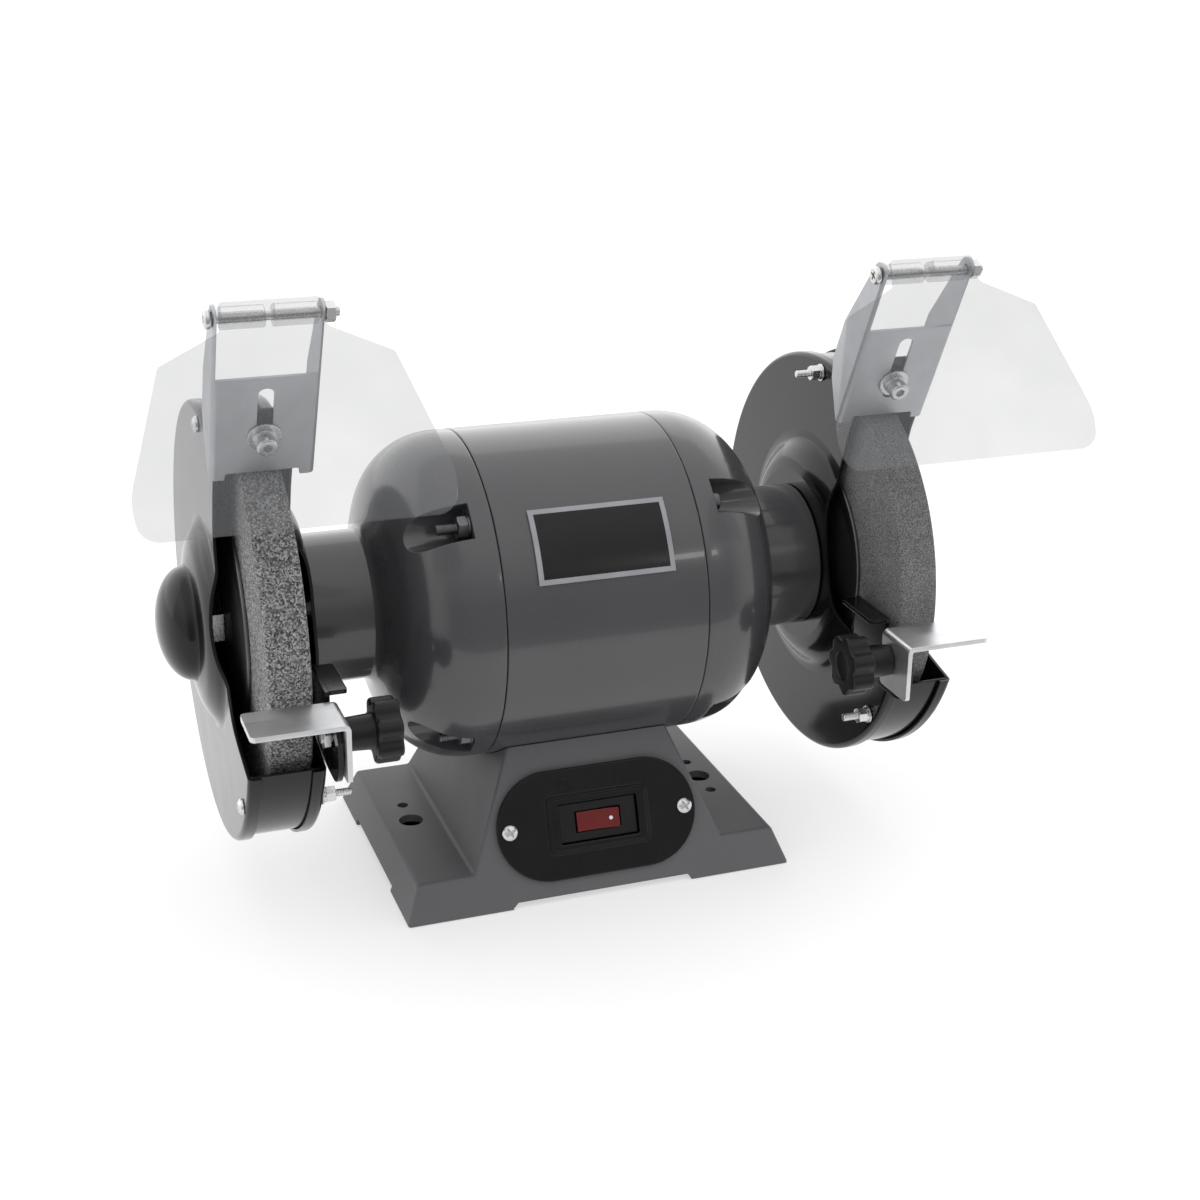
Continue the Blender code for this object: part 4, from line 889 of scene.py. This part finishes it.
def make_guards(side, label):
    out, inn = GUARD_IN, GUARD_IN + SHEET
    hub = NECK_END + FIT
    bend = curve_through([
        (out, HUB_RADIUS + 0.007), (out - 0.0012, HUB_RADIUS + 0.0015), (out - 0.0050, HUB_RADIUS - 0.0035),
        (hub + 0.0012, HUB_RADIUS - 0.0085), (hub, HUB_RADIUS - 0.0145),
    ], 5)
    lip = arc((out + 0.0028, GUARD_RADIUS - 0.0028), 0.0028, pi / 2, pi, 7)
    profile = [(out + LIP_DEPTH, GUARD_RADIUS), *lip, *bend, (hub, 0.020), (hub + SHEET, 0.020)]
    profile += [(a + SHEET, r - 0.0004) for a, r in reversed(bend)]
    profile += [(inn, GUARD_RADIUS - SHEET * 1.2), (out + LIP_DEPTH, GUARD_RADIUS - SHEET * 0.9)]
    pan = turned(f"pan_{label}", flip(profile, side), steps=160)
    open_mouth(pan, side)
    dress(pan, "black_gloss", "housing", [f"inner_guard_{label}"], 30.0)

    out, inn = GUARD_OUT, GUARD_OUT - SHEET
    run = SKIRT_RADIUS - DOME_RADIUS
    skirt = ((0.0, 1.12), (0.0, 1.0), (0.12, 0.88), (0.42, 0.70), (0.72, 0.46), (0.90, 0.20), (1.0, 0.04))
    rise = curve_through([(out + SKIRT_RISE * u, DOME_RADIUS + run * v) for u, v in skirt], 5)
    top = out + SKIRT_RISE
    crease = [(top + 0.0008, DOME_RADIUS + 0.0002)]
    turns = [radians(7 + 5.7 * i) for i in range(14)]
    dome = [(top + DOME_HEIGHT * sin(t), DOME_RADIUS * cos(t)) for t in turns]
    outside = rise + crease + dome
    inside = [(a - SHEET, max(r - SHEET * 0.3, 0.0005)) for a, r in reversed(outside)]
    lip = arc((out - 0.0028, GUARD_RADIUS - 0.0028), 0.0028, pi / 2, 0.0, 7)
    profile = [
        (out - LIP_DEPTH, GUARD_RADIUS - SHEET * 0.9), (out - LIP_DEPTH, GUARD_RADIUS), *lip, *outside,
    ]
    profile += [
        (top + DOME_HEIGHT, 0.0), (top + DOME_HEIGHT - SHEET, 0.0), *inside,
        (inn, GUARD_RADIUS - SHEET * 1.2),
    ]
    cover = turned(f"cover_{label}", flip(profile, side), steps=160)
    open_mouth(cover, side)
    dress(cover, "black_gloss", "housing", [f"outer_cover_{label}"], 30.0)

    outer, inner = BAND_RADIUS, BAND_RADIUS - BAND_SHEET
    low, high = GUARD_IN + SHEET + FIT, GUARD_OUT - SHEET - FIT
    top = pi / 2 + LEAN + (TAB_FRONT - 0.0008) / BAND_RADIUS
    bottom = pi + radians(21.8) - 2 * pi
    outline = arc((0, 0), outer, top, bottom, 140) + arc((0, 0), inner, bottom, top, 140)
    band = slab(f"band_{label}", [outline], high - low, (side * (low + high) / 2, 0, SHAFT_Z))
    tab = spans(side * (GUARD_IN + LIP_DEPTH + FIT), side * (GUARD_OUT - LIP_DEPTH - FIT))
    combine(band, block(
        (tab[0], -TAB_FRONT, inner + 0.0002), (tab[1], -TAB_FRONT + 0.0017, TAB_TOP),
        (0, 0, SHAFT_Z), LEAN_TURN,
    ))
    dress(band, "black_gloss", "housing", [f"guard_band_{label}"], 30.0)


def make_guard_screws(side, label):
    for place, angle in SCREW_ANGLES.items():
        y, z = about_shaft(SCREW_CIRCLE, angle)
        head, back = GUARD_OUT + FIT, GUARD_IN - FIT
        name, origin = f"pan_screw_{label}_{place}", (0, y, z)
        screw = turned(name, flip(thread(back - 0.0145, back + 0.004, SCREW_RADIUS), side), 0, 28, (y, z))
        combine(screw, bar(0.0016, side * (back + 0.002), side * (head + 0.001), 20, origin))
        cap = eased([(head, 0.0040), (head + 0.0012, 0.0038), (head + 0.0024, 0.0020)], 0.001, 5, False)
        top = turned(name + "_head", flip([(head, 0.0), *cap, (head + 0.0024, 0.0)], side), 0, 36, (y, z))
        for turn in (0.3, 0.3 + pi / 2):
            slot = Matrix.Rotation(turn, 3, "X")
            low, high = spans(side * (head + 0.0013), side * (head + 0.004))
            cut(top, block((low, -0.0022, -0.0004), (high, 0.0022, 0.0004), origin, slot))
        combine(screw, top)
        combine(screw, bar(0.0045, side * (back - 0.0007), side * back, 40, origin))
        ring_low = back - 0.0019
        combine(screw, bar(0.0038, side * ring_low, side * (back - 0.0006), 40, origin))
        combine(screw, hexagon(
            0.0070, side * (back - 0.0065), side * (ring_low + 0.0001), origin, (1, 0, 0),
        ))
        dress(screw, "bolt_zinc", "housing", [f"guard_screw_{label}_{place}"])


# ---------------------------------------------------------------- wheels
def make_wheel(side, label, look):
    x, bore, edge = WHEEL_WIDTH / 2, 0.0083, 0.0009
    rim = [
        (-x, WHEEL_RADIUS - edge), (-x + edge, WHEEL_RADIUS), (x - edge, WHEEL_RADIUS),
        (x, WHEEL_RADIUS - edge),
    ]
    rounded = eased([(-x, 0.045), *rim, (x, 0.045)], 0.0006, 3, False)
    profile = [(-x, bore), *rounded, (x, bore)]
    wheel = turned(f"stone_{label}", profile, side * WHEEL_X, 192)
    dress(wheel, look, "spindle", [f"wheel_{label}"], 30.0)
    for inward in (True, False):
        way = -side if inward else side
        kind = "inner" if inward else "outer"
        rim, wide = 0.055, 0.0045
        outside = eased(
            [(0.0, rim), (0.0016, rim), (0.0028, rim - 0.012), (wide, rim - 0.020), (wide, 0.0083)],
            0.0008, 4, False,
        )
        profile = outside + [(0.0010, 0.0083), (0.0010, rim - 0.0095), (0.0, rim - 0.009)]
        flange = turned(f"clamp_{kind}_{label}", flip(profile, way), side * WHEEL_X + way * (x + FIT), 128)
        dress(flange, "dark_steel", "spindle", [f"{kind}_flange_{label}"])


# ---------------------------------------------------------------- tool rests
def make_rest(side, label):
    out, low = side * REST_OUT, REST_LOW
    inn, leg = side * REST_IN, side * (REST_IN + REST_LEG)
    path = [
        (inn, low), (leg, low), (leg, REST_TOP - REST_SHEET), (out, REST_TOP - REST_SHEET),
        (out, REST_TOP), (inn, REST_TOP),
    ]
    outline = path[:2] + eased(path[1:4], 0.0010, 5, False)[1:-1] + path[3:5]
    outline += eased([path[4], path[5], path[0]], REST_BEND, 8, False)[1:-1]
    depth = REST_NEAR - REST_FAR
    middle_y = (REST_NEAR + REST_FAR) / 2
    rest = slab(f"rest_{label}", [outline], depth, (0, middle_y, 0), UPRIGHT, 0.0003)
    near, far = REST_NEAR, REST_FAR
    left, right = spans(inn - side * 0.004, out)
    plan = eased(corners(left, far, right, near), 0.0028, 8)
    keep(rest, slab("rest_plan", [plan], 0.2, (0, 0, REST_TOP), FLAT))
    side_view = eased(corners(far, low, near, REST_TOP + 0.01), 0.0026, 8)
    keep(rest, slab("rest_side", [side_view], 0.6))
    cut(rest, bar(STUD_RADIUS + FIT, side * 0.13, side * 0.145, 40, STUD_LINE))
    dress(rest, "rest_zinc", f"rest_{label}", [f"tool_rest_{label}"], 30.0)

    start, stop = REST_IN - 0.0142, GUARD_IN + 0.0045
    stud = turned(
        f"stud_{label}", flip(thread(start, stop, STUD_RADIUS, 0.0009), side), 0, 32, STUD_LINE[1:],
    )
    combine(stud, hexagon(0.0095, side * GUARD_IN, side * (GUARD_IN + 0.0035), STUD_LINE, (1, 0, 0)))
    dress(stud, "bolt_zinc", f"rest_{label}", [f"rest_stud_{label}"])

    lobes, count = [], KNOB_LOBES * 24
    for i in range(count):
        angle = 2 * pi * i / count
        reach = KNOB_RADIUS - 0.0026 * (0.5 - 0.5 * cos(KNOB_LOBES * angle)) ** 1.5
        lobes.append((reach * cos(angle), reach * sin(angle)))
    collar_end = REST_IN - FIT
    head_in = collar_end - KNOB_REACH
    knob = slab(
        f"grip_{label}", [lobes], KNOB_THICK, (side * (head_in + KNOB_THICK / 2), STUD_Y, STUD_Z),
        SIDEWAYS, 0.0016,
    )
    root, shoulder = head_in + KNOB_THICK - 0.002, (head_in + KNOB_THICK + 0.0008, 0.0084)
    collar = [(root, 0.0), (root, 0.0098), shoulder]
    collar += eased([shoulder, (collar_end, 0.0078), (collar_end, 0.0)], 0.0007, 4, False)[1:]
    combine(knob, turned("grip_collar", flip(collar, side), 0, 64, STUD_LINE[1:]))
    dish = [
        (head_in - 0.001, 0.0), (head_in - 0.001, 0.0085), (head_in + 0.0011, 0.0070),
        (head_in + 0.0015, 0.0),
    ]
    cut(knob, turned("grip_dish", flip(dish, side), 0, 48, STUD_LINE[1:]))
    cut(knob, bar(STUD_RADIUS + FIT, side * (REST_IN - 0.0150), side * (collar_end + 0.002), 24, STUD_LINE))
    dress(knob, "black_plastic", f"rest_knob_{label}", [f"knob_{label}"], 30.0)


def make_arm(side, label):
    end_y, end_z, end_r = STUD_Y - 0.003, STUD_Z - 0.0065, 0.0135
    root = -(HUB_RADIUS + 0.005)
    step = -(WHEEL_RADIUS - 0.001)
    under = REST_TOP - REST_SHEET - FIT * 2
    outline = [(root, end_z - 0.002), (root - 0.011, end_z - end_r)]
    outline += arc((end_y, end_z), end_r, -pi / 2, -pi, 20)
    outline += [
        (end_y - end_r, STUD_Z + 0.004), (end_y - 0.006, under), (step, under),
        (step, REST_TOP + 0.0035), (root, REST_TOP + 0.0035),
    ]
    half = STUD_RADIUS + 0.0004
    slot = arc((STUD_Y + 0.009, STUD_Z), half, -pi / 2, pi / 2, 16)
    slot += arc((STUD_Y - 0.0065, STUD_Z), half, pi / 2, 3 * pi / 2, 16)
    arm = slab(
        f"arm_{label}", [outline, slot], 0.0025, (side * (GUARD_IN - FIT - 0.00125), 0, 0), SIDEWAYS,
        0.0003,
    )
    low, high = spans(side * (GUARD_IN - FIT - 0.011), side * (GUARD_IN - FIT - 0.001))
    fold = eased(corners(low, step + 0.001, high, root - 0.001), 0.0015, 4)
    combine(arm, slab("arm_fold", [fold], 0.0022, (0, 0, REST_TOP + 0.0023), FLAT, 0.0003))
    dress(arm, "black_gloss", "housing", [f"rest_arm_{label}"], 30.0)


# ---------------------------------------------------------------- shields
def make_bracket(side, label):
    low, high = TAB_FRONT + FIT, TAB_FRONT + FIT + SHEET
    half, back = BRACKET_HALF, FLANGE_DEPTH - TAB_FRONT - FIT - SHEET
    outer = [(-half, back), (-half, -high), (half, -high), (half, back)]
    section = [outer[0]] + eased(outer, 0.0026, 8, False)[1:-1] + [outer[3]]
    inner = half - SHEET
    section += eased([(inner, back), (inner, -low), (-inner, -low), (-inner, back)], 0.0011, 5, False)
    top = HINGE_REACH + EAR_RADIUS
    origin = Vector((side * BRACKET_X, 0, SHAFT_Z))
    centre = origin + LEAN_TURN @ Vector((0, 0, (BRACKET_LOW + top) / 2))
    bracket = slab(f"bracket_{label}", [section], top - BRACKET_LOW, centre, LEAN_TURN)
    edge, foot = -high - 0.002, BRACKET_LOW - 0.001
    cheek = [
        (edge, foot), (-low + 0.0006, foot), (back - 0.004, BRACKET_LOW + 0.016),
        (back, BRACKET_LOW + 0.026), (back, BRACKET_HIGH - 0.010),
    ]
    cheek += arc((0, HINGE_REACH), EAR_RADIUS, 0.35, pi - 0.1, 20)
    cheek += [(-high, BRACKET_HIGH + 0.004), (edge, BRACKET_HIGH + 0.0015)]
    keep(bracket, slab("bracket_side", [cheek], 0.1, origin, LEAN_TURN @ SIDEWAYS))
    upright = LEAN_TURN @ UPRIGHT
    front = origin + LEAN_TURN @ Vector((0, -low, 0))
    window = corners(-inner, BRACKET_HIGH, inner, BRACKET_HIGH + 0.05)
    cut(bracket, slab("bracket_window", [window], 0.010, front, upright))
    slot = arc((0, SLOT_HIGH - SLOT_HALF_WIDTH), SLOT_HALF_WIDTH, 0, pi, 20)
    slot += arc((0, SLOT_LOW + SLOT_HALF_WIDTH), SLOT_HALF_WIDTH, pi, 2 * pi, 20)
    cut(bracket, slab("bracket_slot", [slot], 0.010, front, upright))
    wide, narrow = (0.0178, BRACKET_LOW - 0.004), (0.0170, BRACKET_LOW + 0.0038)
    notch = [(-wide[0], wide[1]), (-narrow[0], narrow[1]), narrow, wide]
    cut(bracket, slab("bracket_notch", [eased(notch, 0.0014, 5)], 0.010, front, upright))
    hinge = hinge_point(side)
    cut(bracket, bar(HINGE_BOLT_RADIUS + FIT, -0.03, 0.03, 32, hinge))
    dress(bracket, "bracket_zinc", f"bracket_{label}", [f"shield_bracket_{label}"], 30.0)

    y, z = along_lean(BOLT_REACH, 0.0)
    origin = Vector((side * BRACKET_X, y, SHAFT_Z + z))
    out = Vector((0, -cos(LEAN), -sin(LEAN)))
    face = high + FIT
    bolt = spun(f"slot_bolt_{label}", thread(-0.009, face + 0.003, 0.0029, 0.0008), origin, out, 32)
    washer = disc(face, face + 0.0012, 0.0078, 0.0003, 3)
    combine(bolt, spun("slot_washer", washer, origin, out, 56))
    spring = disc(face + 0.0013, face + 0.0030, 0.0054, 0.0003, 3)
    combine(bolt, spun("slot_spring", spring, origin, out, 48))
    head = disc(face + 0.0029, face + 0.0088, 0.0049, 0.0010, 5)
    cap = spun(f"slot_cap_{label}", head, origin, out, 48)
    cut(cap, hexagon(0.0042, face + 0.0052, face + 0.0120, origin, out))
    combine(bolt, cap)
    rear = TAB_FRONT - 0.0017 - FIT
    combine(bolt, hexagon(0.0097, rear - 0.005, rear, origin, out))
    dress(bolt, "bolt_zinc", "housing", [f"bracket_bolt_{label}"])


def hinge_point(side):
    y, z = along_lean(HINGE_REACH, 0.0)
    return Vector((side * BRACKET_X, y, SHAFT_Z + z))


def make_shield(side, label):
    origin = hinge_point(side)
    turn = Matrix.Rotation(-SHIELD_LEAN, 3, "X")
    tongue, shoulder, wide, length = 0.022, 0.0505, 0.0685, 0.097
    half = [
        (tongue, 0.004), (tongue + 0.001, -0.0095), (shoulder, -0.023), (wide, -0.079),
        (wide - 0.0022, -length),
    ]
    outline = [(-x, v) for x, v in half] + list(reversed(half))
    rounded = []
    sizes = (0.002, 0.003, 0.003, 0.030, 0.0125, 0.0125, 0.030, 0.003, 0.003, 0.002)
    for i, radius in enumerate(sizes):
        before, after = outline[i - 1], outline[(i + 1) % len(outline)]
        rounded += eased([before, outline[i], after], radius, 10, False)[1:-1]
    upright = turn @ UPRIGHT
    out = turn @ Vector((0, -1, 0))
    middle_out = SHIELD_OFFSET + SHIELD_SHEET / 2
    shield = slab(f"screen_{label}", [rounded], SHIELD_SHEET, origin + out * middle_out, upright, 0.0005)
    for way in (-1, 1):
        start, end = way * 0.0016, way * (tongue - 0.0006)
        barrel = disc(start, end, BARREL_RADIUS, 0.0008, 5)
        combine(shield, spun("screen_barrel", barrel, origin, (1, 0, 0), 48))
        low, high = spans(start, end)
        ends = (low + 0.0006, -SHIELD_OFFSET - 0.001, -0.0035), (high - 0.0006, -0.001, 0.0035)
        combine(shield, block(*ends, origin, turn))
    cut(shield, bar(HINGE_BOLT_RADIUS + FIT, -0.04, 0.04, 32, origin))
    dress(shield, "clear_plastic", f"eye_shield_{label}", [f"shield_{label}"], 30.0)

    reach = BRACKET_HALF + FIT
    y, z = origin.y, origin.z
    pin = turned(
        f"hinge_pin_{label}", thread(reach + 0.0002, reach + 0.0065, HINGE_BOLT_RADIUS), origin.x, 28,
        (y, z),
    )
    combine(pin, bar(0.0021, -reach - 0.001, reach + 0.001, 28, origin))
    cap = disc(-reach - 0.0001, -reach - 0.0032, 0.0044, 0.0012, 5)
    top = turned(f"hinge_head_{label}", cap, origin.x, 40, (y, z))
    for angle in (0.5, 0.5 + pi / 2):
        ends = (-reach - 0.005, -0.0024, -0.0005), (-reach - 0.0017, 0.0024, 0.0005)
        cut(top, block(*ends, origin, Matrix.Rotation(angle, 3, "X")))
    combine(pin, top)
    combine(pin, hexagon(0.0083, reach, reach + 0.0045, origin, (1, 0, 0)))
    dress(pin, "bolt_zinc", f"bracket_{label}", [f"hinge_bolt_{label}"])


# ---------------------------------------------------------------- CAD nodes that stay
def keep_nodes():
    looks = {
        "base_plate": "steel", "capacitor": "steel", "cable_gland": "black_plastic", "stator": "winding",
        "rotor": "steel", "shaft": "steel",
    }
    for _, label in SIDES:
        looks[f"bearing_{label}"] = "steel"
        looks[f"arbor_nut_{label}"] = "bolt_zinc"
    for node, look in looks.items():
        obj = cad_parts[node]
        obj.data.materials.clear()
        obj.data.materials.append(LOOKS[look])


# ---------------------------------------------------------------- stage
def make_stage():
    bm = bmesh.new()
    bm.faces.new([bm.verts.new((x, y, -0.0002)) for x, y in corners(-30.0, FLOOR_EDGE, 30.0, 30.0)])
    floor = bpy.data.objects.new("floor", mesh_from("floor", bm))
    bpy.context.scene.collection.objects.link(floor)
    s = Shader("floor_paper")
    s.colour(s.ramp(s.noise(1.2, 3.0), (0.3, 0.50), (0.7, 0.53)))
    s.rough(s.noise(3.0, 3.0), 0.85, 0.95)
    s.set(Specular_IOR_Level=0.2, Emission_Color=grey(1.0), Emission_Strength=FLOOR_GLOW)
    floor.data.materials.append(s.material)

    bpy.context.scene.view_settings.view_transform = "Standard"
    world = bpy.data.worlds.new("studio")
    bpy.context.scene.world = world
    world.use_nodes = True
    tree = world.node_tree

    def ranged(value, low, high, start, end):
        made = tree.nodes.new("ShaderNodeMapRange")
        made.interpolation_type = "SMOOTHSTEP"
        for key, number in (("From Min", low), ("From Max", high), ("To Min", start), ("To Max", end)):
            made.inputs[key].default_value = number
        tree.links.new(value, made.inputs["Value"])
        return made.outputs["Result"]

    def sums(how, first, second):
        made = tree.nodes.new("ShaderNodeMath")
        made.operation = how
        for value, socket in ((first, made.inputs[0]), (second, made.inputs[1])):
            if isinstance(value, float):
                socket.default_value = value
            else:
                tree.links.new(value, socket)
        return made.outputs["Value"]

    split = tree.nodes.new("ShaderNodeSeparateXYZ")
    tree.links.new(tree.nodes.new("ShaderNodeTexCoord").outputs["Generated"], split.inputs["Vector"])
    x, y, z = (split.outputs[key] for key in "XYZ")
    dome = ranged(z, 0.05, 0.95, FRONT_LIGHT, TOP_LIGHT)
    sides = ranged(sums("ABSOLUTE", x, 0.0), 0.55, 0.85, 0.0, SIDE_LIGHT)
    screen = sums("MULTIPLY", ranged(y, 0.10, 0.30, 0.0, 1.0), ranged(z, 0.745, 0.765, BACK_LIGHT, 0.0))
    total = sums("MAXIMUM", sums("ADD", dome, sides), screen)
    seen = tree.nodes.new("ShaderNodeLightPath").outputs["Is Camera Ray"]
    unseen = sums("MULTIPLY", total, sums("SUBTRACT", 1.0, seen))
    total = sums("ADD", unseen, sums("MULTIPLY", seen, BACKDROP))
    tree.links.new(total, tree.nodes["Background"].inputs["Strength"])
    tree.nodes["Background"].inputs["Color"].default_value = grey(1.0)


def softbox(name, place, aim, width, height, watts):
    light = bpy.data.lights.new(name, "AREA")
    light.shape = "RECTANGLE"
    light.size, light.size_y = width, height
    light.energy = watts
    obj = bpy.data.objects.new(name, light)
    obj.location = place
    obj.rotation_mode = "QUATERNION"
    obj.rotation_quaternion = (Vector(aim) - Vector(place)).to_track_quat("-Z", "Y")
    obj.visible_camera = False
    bpy.context.scene.collection.objects.link(obj)


def make_camera():
    azimuth, elevation, roll = radians(-20.43), radians(20.01), radians(0.88)
    back = Vector((sin(azimuth) * cos(elevation), -cos(azimuth) * cos(elevation), sin(elevation)))
    aim = Vector((0.03096, FRONT_SHIFT, 0.15655))
    data = bpy.data.cameras.new("camera")
    data.sensor_width = 36.0
    data.lens = 58.16
    data.shift_x = -0.0098
    data.shift_y = -0.0417
    camera = bpy.data.objects.new("camera", data)
    camera.location = aim + back * 1.01994
    camera.rotation_mode = "QUATERNION"
    turn = Matrix.Rotation(roll, 3, "Z").to_quaternion()
    camera.rotation_quaternion = (-back).to_track_quat("-Z", "Y") @ turn
    bpy.context.scene.collection.objects.link(camera)
    bpy.context.scene.camera = camera


make_base()
make_switch()
make_barrel()
make_through_bolts()
make_nameplate()
for side, label in SIDES:
    make_bell(side, label)
    make_guards(side, label)
    make_guard_screws(side, label)
    make_wheel(side, label, "coarse_grit" if side < 0 else "fine_grit")
    make_rest(side, label)
    make_arm(side, label)
    make_bracket(side, label)
    make_shield(side, label)
keep_nodes()
make_stage()
softbox("window", (0.61, -1.27, 0.83), (0.12, 0, 0.15), 0.12, 0.09, 0.22)
make_camera()
